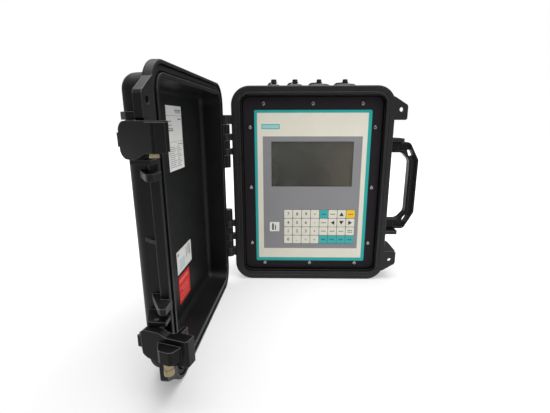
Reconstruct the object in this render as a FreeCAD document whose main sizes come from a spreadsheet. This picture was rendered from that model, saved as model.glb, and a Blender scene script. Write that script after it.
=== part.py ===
import FreeCAD
import Part
import Sketcher
import math
import os

# Portable clamp-on ultrasonic flow meter built into a rugged carrying case.
# The case stands on its narrow side with the lid swung open.
# Lengths in millimetres.  Local frame of the pieces: X to the right, Y from
# the parting plane (Y = 0) to the back of the base, Z up from the table.

V = FreeCAD.Vector
doc = FreeCAD.newDocument("flow_meter")
sheet = doc.addObject("Spreadsheet::Sheet", "Dims")
rows = [0]


class Q:
    """A number together with the sheet expression that gives it."""

    def __init__(self, v, t):
        self.v = float(v)
        self.t = t

    def __add__(self, o):
        o = q(o)
        return Q(self.v + o.v, "(%s + %s)" % (self.t, o.t))

    __radd__ = __add__

    def __sub__(self, o):
        o = q(o)
        return Q(self.v - o.v, "(%s - %s)" % (self.t, o.t))

    def __rsub__(self, o):
        return q(o) - self

    def __mul__(self, o):
        o = q(o)
        return Q(self.v * o.v, "(%s * %s)" % (self.t, o.t))

    __rmul__ = __mul__

    def __truediv__(self, o):
        o = q(o)
        return Q(self.v / o.v, "(%s / %s)" % (self.t, o.t))

    def __neg__(self):
        return Q(-self.v, "(0 - %s)" % self.t)


def q(o):
    return o if isinstance(o, Q) else Q(o, "(%.6f)" % o)


def dim(alias, value):
    rows[0] += 1
    r = rows[0]
    sheet.set("A%d" % r, alias)
    sheet.set("B%d" % r, "%.6f" % value)
    sheet.setAlias("B%d" % r, alias)
    return Q(value, "Dims.%s" % alias)


known = {}


def dimo(alias, value):
    """A dimension several alike pieces share."""
    if alias not in known:
        known[alias] = dim(alias, value)
    return known[alias]


def bind(obj, prop, val):
    val = q(val)
    if "Dims." in val.t:
        obj.setExpression(prop, val.t)
    return val.v


# ---------------------------------------------------------------- dimensions
rim_w = dim("rim_w", 262.0)          # outer width of the rim
rim_h = dim("rim_h", 330.0)          # outer height of the rim
rim_r = dim("rim_r", 30.0)           # its corner radius
rim_t = dim("rim_t", 11.0)           # thickness of the base's rim flange
mid_z = dim("mid_z", 165.0)          # mid height of the case
wall_in = dim("wall_in", 10.5)       # rim to body wall
body_r = dim("body_r", 17.0)
base_d = dim("base_d", 105.0)        # depth of the base
wall_t = dim("wall_t", 4.0)
cav_w = dim("cav_w", 233.0)          # cavity of the base
cav_h = dim("cav_h", 302.0)
cav_r = dim("cav_r", 12.5)
part_gap = dim("part_gap", 0.3)      # lid rim to base rim when shut
pan_x = dim("pan_x", 0.8)            # centre of the panel
recess = dim("recess", 11.6)         # panel face below the rim
plate_w = dim("plate_w", 228.0)
plate_h = dim("plate_h", 297.0)
plate_r = dim("plate_r", 10.5)
plate_t = dim("plate_t", 3.0)
gask_t = dim("gask_t", 1.0)
lid_rim_t = dim("lid_rim_t", 10.0)
lid_d = dim("lid_d", 37.0)           # depth of the lid
lid_cav_w = dim("lid_cav_w", 231.0)
lid_cav_h = dim("lid_cav_h", 298.0)
lid_cav_d = dim("lid_cav_d", 33.0)
hinge_x = dim("hinge_x", -141.0)     # hinge axis
knuck_r = dim("knuck_r", 7.0)
hpin_r = dim("hpin_r", 2.5)
run_gap = dim("run_gap", 0.05)       # running clearance on radius
open_deg = dim("open_deg", 93.18)    # lid as it stands open
latch_px = dim("latch_px", 138.0)    # latch pivot
latch_py = dim("latch_py", -12.0)
lpin_r = dim("lpin_r", 2.0)
latch_deg = dim("latch_deg", 31.0)   # upper latch as it stands unhooked
latch_deg2 = dim("latch_deg_low", 14.5)  # lower latch
handle_px = dim("handle_px", 138.0)  # handle pivot
handle_py = dim("handle_py", 29.0)
hdl_r = dim("hdl_r", 2.5)
parting_y = dim("parting_y", -5.5)   # parting plane in the part's frame

# Placements of the bodies in the part's frame
PB = FreeCAD.Placement(V(0, parting_y.v, 0), FreeCAD.Rotation())
PL = FreeCAD.Placement(V(0, parting_y.v, 0), FreeCAD.Rotation(V(0, 0, 1), -open_deg.v), V(hinge_x.v, 0, 0))
PK = {}
for key, deg in (("upper", latch_deg), ("lower", latch_deg2)):
    PK[key] = PL.multiply(FreeCAD.Placement(V(0, 0, 0), FreeCAD.Rotation(V(0, 0, 1), -deg.v), V(latch_px.v, latch_py.v, 0)))

nodes = []
print("start", flush=True)


def node(obj, label, place):
    if obj.TypeId in ("Part::Box", "Part::Cylinder"):
        obj = group(label + "_set", [obj])
    obj.Label = label
    obj.Placement = place
    nodes.append((obj, label))
    print(label, flush=True)


# ------------------------------------------------------------------- helpers
def new_body(name):
    return doc.addObject("PartDesign::Body", name + "_body")


def origin_plane(body, role):
    for f in body.Origin.OriginFeatures:
        if f.Role == role:
            return f
    return None


def sketch(body, name, role, offset):
    """role XZ_Plane: offset is the Y of the sketch; XY_Plane: its Z;
    YZ_Plane: its X."""
    sk = body.newObject("Sketcher::SketchObject", name)
    sk.AttachmentSupport = [(origin_plane(body, role), "")]
    sk.MapMode = "FlatFace"
    off = q(offset)
    if role == "XZ_Plane":
        off = -off
    sk.AttachmentOffset = FreeCAD.Placement(V(0, 0, off.v), FreeCAD.Rotation())
    bind(sk, "AttachmentOffset.Base.z", off)
    return sk


def fix_pt(sk, geo, pos, x, y):
    for kind, val in (("DistanceX", q(x)), ("DistanceY", q(y))):
        if abs(val.v) < 1e-9:
            sk.addConstraint(Sketcher.Constraint("PointOnObject", geo, pos, -2 if kind == "DistanceX" else -1))
        elif val.v > 0:
            i = sk.addConstraint(Sketcher.Constraint(kind, -1, 1, geo, pos, val.v))
            bind(sk, "Constraints[%d]" % i, val)
        else:
            i = sk.addConstraint(Sketcher.Constraint(kind, geo, pos, -1, 1, -val.v))
            bind(sk, "Constraints[%d]" % i, -val)


def poly(sk, pts):
    n0 = sk.GeometryCount
    n = len(pts)
    pq = [(q(a), q(b)) for a, b in pts]
    for i in range(n):
        a, b = pq[i], pq[(i + 1) % n]
        sk.addGeometry(Part.LineSegment(V(a[0].v, a[1].v, 0), V(b[0].v, b[1].v, 0)), False)
    for i in range(n):
        sk.addConstraint(Sketcher.Constraint("Coincident", n0 + i, 2, n0 + (i + 1) % n, 1))
    for i in range(n):
        fix_pt(sk, n0 + i, 1, pq[i][0], pq[i][1])


def circle(sk, x, y, r):
    g = sk.GeometryCount
    x, y, r = q(x), q(y), q(r)
    sk.addGeometry(Part.Circle(V(x.v, y.v, 0), V(0, 0, 1), r.v), False)
    i = sk.addConstraint(Sketcher.Constraint("Radius", g, r.v))
    bind(sk, "Constraints[%d]" % i, r)
    fix_pt(sk, g, 3, x, y)


def rrect(sk, cx, cy, w, h, r):
    cx, cy, w, h, r = q(cx), q(cy), q(w), q(h), q(r)
    x0, x1 = cx.v - w.v / 2, cx.v + w.v / 2
    y0, y1 = cy.v - h.v / 2, cy.v + h.v / 2
    rv = r.v
    g = sk.GeometryCount
    L = Part.LineSegment
    z = V(0, 0, 1)
    sk.addGeometry(L(V(x0 + rv, y0, 0), V(x1 - rv, y0, 0)), False)
    sk.addGeometry(Part.ArcOfCircle(Part.Circle(V(x1 - rv, y0 + rv, 0), z, rv), -math.pi / 2, 0), False)
    sk.addGeometry(L(V(x1, y0 + rv, 0), V(x1, y1 - rv, 0)), False)
    sk.addGeometry(Part.ArcOfCircle(Part.Circle(V(x1 - rv, y1 - rv, 0), z, rv), 0, math.pi / 2), False)
    sk.addGeometry(L(V(x1 - rv, y1, 0), V(x0 + rv, y1, 0)), False)
    sk.addGeometry(Part.ArcOfCircle(Part.Circle(V(x0 + rv, y1 - rv, 0), z, rv), math.pi / 2, math.pi), False)
    sk.addGeometry(L(V(x0, y1 - rv, 0), V(x0, y0 + rv, 0)), False)
    sk.addGeometry(Part.ArcOfCircle(Part.Circle(V(x0 + rv, y0 + rv, 0), z, rv), math.pi, 1.5 * math.pi), False)
    C = Sketcher.Constraint
    for i in range(8):
        sk.addConstraint(C("Tangent", g + i, 2, g + (i + 1) % 8, 1))
    sk.addConstraint(C("Horizontal", g))
    sk.addConstraint(C("Horizontal", g + 4))
    sk.addConstraint(C("Vertical", g + 2))
    sk.addConstraint(C("Vertical", g + 6))
    for i in (3, 5, 7):
        sk.addConstraint(C("Equal", g + 1, g + i))
    i = sk.addConstraint(C("Radius", g + 1, rv))
    bind(sk, "Constraints[%d]" % i, r)
    i = sk.addConstraint(C("DistanceX", g + 6, 1, g + 2, 1, w.v))
    bind(sk, "Constraints[%d]" % i, w)
    i = sk.addConstraint(C("DistanceY", g, 1, g + 4, 1, h.v))
    bind(sk, "Constraints[%d]" % i, h)
    # left line's X and bottom line's Y place it
    xl = cx - w / 2
    yb = cy - h / 2
    for kind, val, geo in (("DistanceX", xl, g + 6), ("DistanceY", yb, g)):
        if abs(val.v) < 1e-9:
            sk.addConstraint(C("PointOnObject", geo, 1, -2 if kind == "DistanceX" else -1))
        elif val.v > 0:
            i = sk.addConstraint(C(kind, -1, 1, geo, 1, val.v))
            bind(sk, "Constraints[%d]" % i, val)
        else:
            i = sk.addConstraint(C(kind, geo, 1, -1, 1, -val.v))
            bind(sk, "Constraints[%d]" % i, -val)


count = [0]


def update(body, *feats):
    """Bring the new features of a body up to date."""
    sheet.recompute()
    for f in feats:
        f.recompute()
    body.recompute()


def pad(body, sk, length, rev=False, taper=None, mid=False):
    count[0] += 1
    f = body.newObject("PartDesign::Pad", "pad%d" % count[0])
    f.Profile = sk
    f.Length = bind(f, "Length", length)
    f.Reversed = rev
    f.Midplane = mid
    if taper is not None:
        f.TaperAngle = bind(f, "TaperAngle", taper)
    update(body, sk, f)
    return f


def pocket(body, sk, length, rev=False, mid=False, taper=None):
    count[0] += 1
    v0 = body.Shape.Volume
    f = body.newObject("PartDesign::Pocket", "pocket%d" % count[0])
    f.Profile = sk
    f.Length = bind(f, "Length", length)
    f.Reversed = rev
    f.Midplane = mid
    if taper is not None:
        f.TaperAngle = bind(f, "TaperAngle", taper)
    update(body, sk, f)
    if body.Shape.Volume > v0 - 1e-3:
        print("POCKET CUTS NOTHING", body.Name, f.Name)
    return f


def fillet(body, pick, radius, chamfer=False):
    """Round the edges of the body's tip that pick(edge) accepts."""
    tip = body.Tip
    names = []
    for i, e in enumerate(tip.Shape.Edges):
        if pick(e):
            names.append("Edge%d" % (i + 1))
    if not names:
        print("NO EDGES", body.Name)
        return None
    count[0] += 1
    f = body.newObject("PartDesign::Chamfer" if chamfer else "PartDesign::Fillet", "edge%d" % count[0])
    f.Base = (tip, names)
    if chamfer:
        f.Size = bind(f, "Size", radius)
    else:
        f.Radius = bind(f, "Radius", radius)
    update(body, f)
    if "Invalid" in f.State or "Error" in f.State or f.Shape.isNull() or not f.Shape.isValid():
        print("EDGE FEATURE FAILED", body.Name, q(radius).t, len(names))
        body.removeObject(f)
        doc.removeObject(f.Name)
        body.Tip = tip
        body.recompute()
        return None
    return f


def bb(e):
    return e.BoundBox


def box(name, x0, x1, y0, y1, z0, z1):
    b = doc.addObject("Part::Box", name)
    x0, x1, y0, y1, z0, z1 = [q(i) for i in (x0, x1, y0, y1, z0, z1)]
    b.Length = bind(b, "Length", x1 - x0)
    b.Width = bind(b, "Width", y1 - y0)
    b.Height = bind(b, "Height", z1 - z0)
    b.Placement = FreeCAD.Placement(V(x0.v, y0.v, z0.v), FreeCAD.Rotation())
    for ax, val in (("x", x0), ("y", y0), ("z", z0)):
        bind(b, "Placement.Base.%s" % ax, val)
    return b


def cyl(name, r, length, x, y, z, axis="Z"):
    c = doc.addObject("Part::Cylinder", name)
    c.Radius = bind(c, "Radius", r)
    c.Height = bind(c, "Height", length)
    rot = {"Z": FreeCAD.Rotation(), "Y": FreeCAD.Rotation(V(1, 0, 0), -90), "X": FreeCAD.Rotation(V(0, 1, 0), 90)}[axis]
    x, y, z = q(x), q(y), q(z)
    c.Placement = FreeCAD.Placement(V(x.v, y.v, z.v), rot)
    for ax, val in (("x", x), ("y", y), ("z", z)):
        bind(c, "Placement.Base.%s" % ax, val)
    return c


def fuse(name, objs):
    if len(objs) == 1:
        return objs[0]
    f = doc.addObject("Part::MultiFuse", name)
    f.Shapes = objs
    return f


def cut(name, a, b):
    f = doc.addObject("Part::Cut", name)
    f.Base = a
    f.Tool = b
    return f


def group(name, objs):
    """Separate solids that share one node."""
    c = doc.addObject("Part::Compound", name)
    c.Links = objs
    return c


def pts(name, seq):
    """Corner points of an outline, kept in the sheet."""
    out = []
    for i, (a, b) in enumerate(seq):
        out.append((dim("%s_u%da" % (name, i), a), dim("%s_v%da" % (name, i), b)))
    return out


def mirz(seq):
    """The same outline mirrored about the case's mid height."""
    return [(a, 2 * mid_z - b) for a, b in reversed(seq)]


def rect(x0, x1, z0, z1):
    return [(x0, z0), (x1, z0), (x1, z1), (x0, z1)]


# ================================================================ base shell
b = new_body("base_shell")
s = sketch(b, "base_rim", "XZ_Plane", 0)
rrect(s, 0, mid_z, rim_w, rim_h, rim_r)
pad(b, s, rim_t, rev=True)
body_w = rim_w - 2 * wall_in
body_h = rim_h - 2 * wall_in
draft = dim("draft", -0.6)
s = sketch(b, "base_walls", "XZ_Plane", rim_t)
rrect(s, 0, mid_z, body_w, body_h, body_r)
pad(b, s, base_d - rim_t, rev=True, taper=draft)
fillet(b, lambda e: bb(e).YMin > base_d.v - 0.01, dim("back_round", 9.0))
fillet(b, lambda e: bb(e).YMax < 0.01, dim("rim_round", 2.2))
fillet(b, lambda e: bb(e).YMin > rim_t.v - 0.01 and bb(e).YMax < rim_t.v + 0.01 and
       (abs(e.CenterOfMass.x) > 125 or abs(e.CenterOfMass.z - 165) > 159 or
        math.hypot(e.CenterOfMass.x, e.CenterOfMass.z - 165) > 180), dim("rim_back_round", 1.5))

# standing ribs on the two narrow sides
rib_a = dim("rib_a", 86.0)
rib_b = dim("rib_b", 96.0)
rib_in = dim("rib_in", 16.0)
s = sketch(b, "stand_ribs", "XZ_Plane", rim_t - 3)
for sg in (1, -1):
    xa, xb = (rib_a, rib_b) if sg > 0 else (-rib_b, -rib_a)
    poly(s, rect(xa, xb, 0, rib_in))
    poly(s, rect(xa, xb, rim_h - rib_in, rim_h))
pad(b, s, dim("rib_len", 84.0), rev=True)
# ribs across the back of the two long walls, hinge side
s = sketch(b, "side_ribs", "XZ_Plane", rim_t - 3)
for k, zz in enumerate((26.0, 60.0, 165.0, 270.0, 304.0)):
    zc = dim("side_rib_z%dm" % k, zz)
    poly(s, rect(-rim_w / 2 + 3.5, -rim_w / 2 + 16, zc - 2, zc + 2))
pad(b, s, dim("side_rib_len", 50.0), rev=True)

# padlock lugs, flush with the rim plane
lug = pts("lug", [(125.0, 314.5), (131.0, 312.0), (149.4, 300.6), (150.8, 297.8), (150.8, 279.0), (148.8, 277.0), (125.0, 277.0)])
lug_t = dim("lug_t", 6.0)
s = sketch(b, "lugs", "XZ_Plane", part_gap)
poly(s, lug)
poly(s, mirz(lug))
pad(b, s, lug_t, rev=True)
# shelves behind the lugs
shelf = pts("shelf", [(117.0, 6.0), (150.8, 6.0), (150.8, 52.0), (147.0, 60.5), (117.0, 60.5)])
shelf_lo = dim("shelf_lo", 112.0)
shelf_hi = dim("shelf_hi", 116.5)
for side in (1, -1):
    s = sketch(b, "lug_shelf%d" % (side + 1), "XY_Plane", mid_z + shelf_lo if side > 0 else mid_z - shelf_hi)
    poly(s, shelf)
    pad(b, s, shelf_hi - shelf_lo)
# gusset that ties each lug to the body wall
s = sketch(b, "lug_gussets", "XZ_Plane", part_gap)
gus = rect(dim("gus_in", 117.0), dim("gus_out", 138.5), mid_z + dim("gus_lo", 112.0), mid_z + dim("gus_hi", 116.5))
poly(s, gus)
poly(s, mirz(gus))
pad(b, s, dim("gus_len", 30.0), rev=True)
# brackets that carry the handle
brk = pts("brk", [(117.0, 7.4), (151.0, 7.4), (152.8, 9.4), (152.8, 36.0), (146.0, 45.4), (117.0, 45.4)])
brk_lo = dim("brk_lo", 76.7)
brk_hi = dim("brk_hi", 82.6)
for side in (1, -1):
    s = sketch(b, "handle_bracket%d" % (side + 1), "XY_Plane", mid_z + brk_lo if side > 0 else mid_z - brk_hi)
    poly(s, brk)
    pad(b, s, brk_hi - brk_lo)
# hinge links: three knuckles in each hinge
knuckles = [(36.0, 56.4), (56.8, 66.8), (67.2, 79.6), (80.0, 90.6), (91.0, 105.4), (105.8, 120.0)]
kz = [(dim("kn%da" % i, a), dim("kn%db" % i, c)) for i, (a, c) in enumerate(knuckles)]


def knuckle(body, i, side, lid):
    lo, hi = kz[i]
    z0 = mid_z + lo if side > 0 else mid_z - hi
    sgn = -1.0 if lid else 1.0
    s1 = sketch(body, "kn_%d_%d" % (i, side + 1), "XY_Plane", z0)
    circle(s1, hinge_x, 0, knuck_r)
    pad(body, s1, hi - lo)
    s2 = sketch(body, "ka_%d_%d" % (i, side + 1), "XY_Plane", z0)
    arm = [(hinge_x + 1.0, sgn * 0.7), (-rim_w / 2 + 4.0, sgn * 0.7), (-rim_w / 2 + 4.0, sgn * 9.0), (-rim_w / 2 - 2.0, sgn * 9.0), (hinge_x - 0.5, sgn * 6.8)]
    poly(s2, arm)
    pad(body, s2, hi - lo)


for side in (1, -1):
    for i in (1, 3, 5):
        knuckle(b, i, side, False)
# pin bores through the knuckles
for side in (1, -1):
    s = sketch(b, "pin_bore_%d" % (side + 1), "XY_Plane", mid_z + side * dim("bore_mid%d" % (side + 1), 78.0))
    circle(s, hinge_x, 0, hpin_r + run_gap)
    pocket(b, s, dim("bore_len%d" % (side + 1), 90.0), mid=True)

# cavity, stepped at the rim
s = sketch(b, "cavity", "XZ_Plane", 0)
rrect(s, 0, mid_z, cav_w, cav_h, cav_r)
pocket(b, s, base_d - wall_t)
fillet(b, lambda e: abs(bb(e).YMin - (base_d.v - wall_t.v)) < 0.01 and bb(e).YLength < 0.01, dim("cav_round", 5.0))
# sealing groove on the rim
s = sketch(b, "rim_groove", "XZ_Plane", 0)
gr = dim("rim_groove_in", 8.3)
gw = dim("rim_groove_w", 1.4)
rrect(s, 0, mid_z, rim_w - 2 * gr, rim_h - 2 * gr, rim_r - gr)
rrect(s, 0, mid_z, rim_w - 2 * (gr + gw), rim_h - 2 * (gr + gw), rim_r - gr - gw)
pocket(b, s, dim("rim_groove_d", 1.8))
fillet(b, lambda e: bb(e).YMax < 0.01 and (abs(bb(e).XMax - cav_w.v / 2) < 0.3 or abs(bb(e).XMin + cav_w.v / 2) < 0.3 or
       abs(bb(e).ZMax - 165 - cav_h.v / 2) < 0.3 or abs(bb(e).ZMin - 165 + cav_h.v / 2) < 0.3), dim("rim_in_round", 1.0))
# posts that carry the panel frame
post_r = dim("post_r", 4.5)
post_top = dim("post_top", 24.0)
s = sketch(b, "posts", "XZ_Plane", post_top)
post_x = dim("post_x", 109.6)
post_z = [dim("post_z%dp" % i, zz) for i, zz in enumerate((40.0, 115.0, 215.0, 290.0))]
for sg in (-1, 1):
    for zz in post_z:
        circle(s, sg * post_x, zz, post_r)
pad(b, s, base_d - post_top - 2.0, rev=True)
post_hr = dim("post_hr", 1.25)
s = sketch(b, "post_holes", "XZ_Plane", post_top)
for sg in (-1, 1):
    for zz in post_z:
        circle(s, sg * post_x, zz, post_hr)
pocket(b, s, dim("post_hole_d", 14.0))
# padlock holes
lock_hx = dim("lock_hx", 141.0)
lock_hz = dim("lock_hz", 293.2)
lock_hr = dim("lock_hr", 3.5)
s = sketch(b, "padlock_holes", "XZ_Plane", -1)
circle(s, lock_hx, lock_hz, lock_hr)
circle(s, lock_hx, 2 * mid_z - lock_hz, lock_hr)
pocket(b, s, dim("padlock_cut", 9.0))
# handle pivot holes through the brackets
s = sketch(b, "handle_pin_holes", "XY_Plane", mid_z)
circle(s, handle_px, handle_py, hdl_r + run_gap)
pocket(b, s, dim("handle_pin_cut", 180.0), mid=True)
# connector holes in the top wall
con_y = dim("con_y", 45.0)
con_x = [dim("con_x%dc" % i, x) for i, x in enumerate((-63.5, -27.7, 12.7, 56.5))]
con_r = [dim("con_r%dc" % i, r) for i, r in enumerate((7.0, 9.5, 14.0, 14.0))]
s = sketch(b, "connector_holes", "XY_Plane", rim_h + 5)
for i in range(4):
    circle(s, con_x[i], con_y, con_r[i] + 0.1)
pocket(b, s, dim("con_cut", 30.0))
# flat seats for the socket seals
wall_top = dim("wall_top", 319.6)
cap_r = [dim("cap_r%dc" % i, r) for i, r in enumerate((11.0, 14.0, 20.0, 20.0))]
s = sketch(b, "seal_seats", "XY_Plane", wall_top - 0.9)
for i in range(4):
    circle(s, con_x[i], con_y, cap_r[i] + 1.2)
pocket(b, s, dim("seat_cut", 8.0), rev=True)
node(b, "base_shell", PB)

# =============================================================== panel frame
p = new_body("panel_frame")
fr_y0 = dim("frame_front", 5.0)
ledge_y = recess + plate_t + gask_t
s = sketch(p, "frame_outer", "XZ_Plane", fr_y0)
rrect(s, 0, mid_z, cav_w - 1, cav_h - 1, cav_r - 0.5)
rrect(s, pan_x, mid_z, plate_w + 0.8, plate_h + 0.8, plate_r + 0.4)
pad(p, s, ledge_y - fr_y0, rev=True)
s = sketch(p, "frame_ledge", "XZ_Plane", ledge_y)
ledge_w = dim("ledge_w", 204.0)
ledge_h = dim("ledge_h", 272.0)
rrect(s, 0, mid_z, cav_w - 1, cav_h - 1, cav_r - 0.5)
rrect(s, 0, mid_z, ledge_w, ledge_h, dim("ledge_r", 8.0))
pad(p, s, post_top - ledge_y, rev=True)
# 12 insert holes and 8 frame screw holes
scr_xa = dim("scr_xa", 80.6)
scr_xb = dim("scr_xb", 103.0)
scr_za = dim("scr_za", 138.0)
scr_zb = dim("scr_zb", 100.3)
scr = []
for k in (-1, 0, 1):
    for sg in (1, -1):
        scr.append((pan_x + k * scr_xa, mid_z + sg * scr_za))
        scr.append((pan_x + sg * scr_xb, mid_z + k * scr_zb))
ins_r = dim("ins_r", 2.6)
s = sketch(p, "insert_holes", "XZ_Plane", ledge_y)
for x, z in scr:
    circle(s, x, z, ins_r)
pocket(p, s, dim("ins_d", 7.0))
fs_r = dim("fs_r", 1.7)
s = sketch(p, "frame_screw_holes", "XZ_Plane", ledge_y)
for sg in (-1, 1):
    for zz in post_z:
        circle(s, sg * post_x, zz, fs_r)
pocket(p, s, dim("fs_cut", 20.0))
fs_sink = dim("fs_sink", 3.0)
s = sketch(p, "frame_screw_sinks", "XZ_Plane", ledge_y)
for sg in (-1, 1):
    for zz in post_z:
        circle(s, sg * post_x, zz, fs_sink)
pocket(p, s, dim("fs_sink_d", 2.6))
fillet(p, lambda e: bb(e).YMax < fr_y0.v + 0.01 and (abs(bb(e).XMax - pan_x.v - plate_w.v / 2) < 0.6 or abs(bb(e).XMin - pan_x.v + plate_w.v / 2) < 0.6 or
       abs(bb(e).ZMax - 165 - plate_h.v / 2) < 0.6 or abs(bb(e).ZMin - 165 + plate_h.v / 2) < 0.6), dim("frame_bevel", 0.6), chamfer=True)
node(p, "panel_frame", PB)

# frame screws: low heads in the sinks
fsl = []
for j, sg in enumerate((-1, 1)):
    for i, zz in enumerate(post_z):
        hd = cyl("fs_head%d%d" % (j, i), dimo("fs_hr", 2.8), dimo("fs_hh", 2.2), sg * post_x, ledge_y + 0.3, zz, "Y")
        sh = cyl("fs_shank%d%d" % (j, i), dimo("fs_sr", 1.2), dimo("fs_sl", 16.0), sg * post_x, ledge_y + 2.4, zz, "Y")
        fsl.append(fuse("fs%d%d" % (j, i), [hd, sh]))
node(group("frame_screw_group", fsl), "frame_screws", PB)

# ============================================================== panel plate
p = new_body("panel_plate")
s = sketch(p, "plate_outline", "XZ_Plane", recess)
rrect(s, pan_x, mid_z, plate_w, plate_h, plate_r)
pad(p, s, plate_t, rev=True)
fillet(p, lambda e: bb(e).YMax < recess.v + 0.01, dim("plate_edge", 0.5), chamfer=True)
lcd_x0 = dim("lcd_x0c", -66.6)
lcd_x1 = dim("lcd_x1c", 69.4)
lcd_z0 = dim("lcd_z0c", 167.4)
lcd_z1 = dim("lcd_z1c", 242.0)
s = sketch(p, "plate_window", "XZ_Plane", recess)
poly(s, rect(lcd_x0 - 2, lcd_x1 + 2, lcd_z0 - 2, lcd_z1 + 2))
pocket(p, s, dim("win_cut", 6.0))
s = sketch(p, "plate_holes", "XZ_Plane", recess)
scr_hole = dim("scr_hole", 2.2)
for x, z in scr:
    circle(s, x, z, scr_hole)
pocket(p, s, dim("scr_cut", 6.0))
# shallow bed for the keypad's switch layer, and the slot for its tail
kx0 = dim("key_x0c", -45.8)
kz0 = dim("key_z0c", 63.4)
kpx = dim("key_px", 15.5)
kpz = dim("key_pz", 15.55)
s = sketch(p, "switch_bed", "XZ_Plane", recess)
poly(s, rect(kx0 - 6, kx0 + 8 * kpx + 6, kz0 - 6, kz0 + 4 * kpz + 6))
pocket(p, s, dim("bed_d", 1.0))
s = sketch(p, "tail_slot", "XZ_Plane", recess)
poly(s, rect(dim("tail_x0c", 4.0), dim("tail_x1c", 28.0), kz0 + 4 * kpz + 1.0, kz0 + 4 * kpz + 5.0))
pocket(p, s, dim("tail_cut", 6.0))
node(p, "panel_plate", PB)

# gasket under the plate
p = new_body("panel_gasket")
s = sketch(p, "gasket_outline", "XZ_Plane", recess + plate_t)
rrect(s, pan_x, mid_z, plate_w - 1, plate_h - 1, plate_r - 0.5)
rrect(s, 0, mid_z, ledge_w + 2, ledge_h + 2, dim("gask_r", 9.0))
pad(p, s, gask_t, rev=True)
gask_hole = dim("gask_hole", 2.5)
s = sketch(p, "gasket_holes", "XZ_Plane", recess + plate_t)
for x, z in scr:
    circle(s, x, z, gask_hole)
pocket(p, s, dim("gask_cut", 3.0))
node(p, "panel_gasket", PB)

# threaded inserts in the frame
ins = []
ins_bore = dim("ins_bore", 1.9)
ins_len = dim("ins_len", 6.5)
for i, (x, z) in enumerate(scr):
    o = cyl("ins_o%d" % i, ins_r - 0.03, ins_len, x, ledge_y + 0.2, z, "Y")
    c = cyl("ins_i%d" % i, ins_bore, ins_len + 2, x, ledge_y - 0.8, z, "Y")
    ins.append(cut("ins%d" % i, o, c))
node(group("insert_group", ins), "panel_inserts", PB)

# panel screws: pan heads with a recess
scs = []
head_r = dim("head_r", 3.3)
head_h = dim("head_h", 2.0)
shank_r = dim("shank_r", 1.8)
for i, (x, z) in enumerate(scr):
    h1 = cyl("sc_h%d" % i, head_r, head_h, x, recess - head_h - 0.02, z, "Y")
    sh = cyl("sc_s%d" % i, shank_r, dimo("sc_len", 11.0), x, recess - 0.5, z, "Y")
    dr = cyl("sc_d%d" % i, dimo("sc_dr", 1.3), dimo("sc_dd", 1.2), x, recess - head_h - 0.1, z, "Y")
    rd = doc.addObject("Part::Fillet", "sc_f%d" % i)
    rd.Base = h1
    sheet.recompute()
    h1.recompute()
    ed = [(k + 1, 1.2, 1.2) for k, e in enumerate(h1.Shape.Edges) if bb(e).YMax < h1.Placement.Base.y + 0.01 and e.Curve.TypeId == "Part::GeomCircle"]
    rd.Edges = ed
    scs.append(cut("sc%d" % i, fuse("sc_b%d" % i, [rd, sh]), dr))
node(group("screw_group", scs), "panel_screws", PB)

# ============================================================ keypad overlay
ov_t = dim("ov_t", 0.6)
ov_w = dim("ov_w", 192.4)
ov_h = dim("ov_h", 262.0)
p = new_body("keypad_overlay")
s = sketch(p, "overlay_outline", "XZ_Plane", recess - ov_t)
ov_x = dim("ov_x", 1.4)
ov_z = dim("ov_z", 162.0)
rrect(s, ov_x, ov_z, ov_w, ov_h, dim("ov_r", 2.5))
poly(s, rect(lcd_x0, lcd_x1, lcd_z0, lcd_z1))
pad(p, s, ov_t - 0.02, rev=True)
node(p, "keypad_overlay", PB)

# switch layer under the keys
node(box("switch_layer", kx0 - 5, kx0 + 8 * kpx + 5, recess + 0.05, recess + 0.9, kz0 - 5, kz0 + 4 * kpz + 5), "switch_layer", PB)
# clear window set into the overlay's opening
w1 = box("win_front", lcd_x0 + 0.1, lcd_x1 - 0.1, recess - ov_t + 0.1, recess + 1.6, lcd_z0 + 0.1, lcd_z1 - 0.1)
w2 = box("win_back", lcd_x0 - 1.6, lcd_x1 + 1.6, recess + 0.3, recess + 1.6, lcd_z0 - 1.6, lcd_z1 + 1.6)
node(fuse("window", [w1, w2]), "display_window", PB)
# display module behind the plate
lm_y = recess + plate_t + 0.2
l1 = box("lcd_case", lcd_x0 - 9, lcd_x1 + 9, lm_y, lm_y + dim("lcd_t", 9.0), lcd_z0 - 12, lcd_z1 + 12)
l2 = box("lcd_glass_bed", lcd_x0 - 1, lcd_x1 + 1, lm_y - 1, lm_y + 1.2, lcd_z0 - 1, lcd_z1 + 1)
l3 = cut("lcd_frame_solid", l1, l2)
node(l3, "lcd_module", PB)
node(box("lcd_glass", lcd_x0 - 0.6, lcd_x1 + 0.6, lm_y + 0.05, lm_y + 1.1, lcd_z0 - 0.6, lcd_z1 + 0.6), "lcd_glass", PB)

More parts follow.
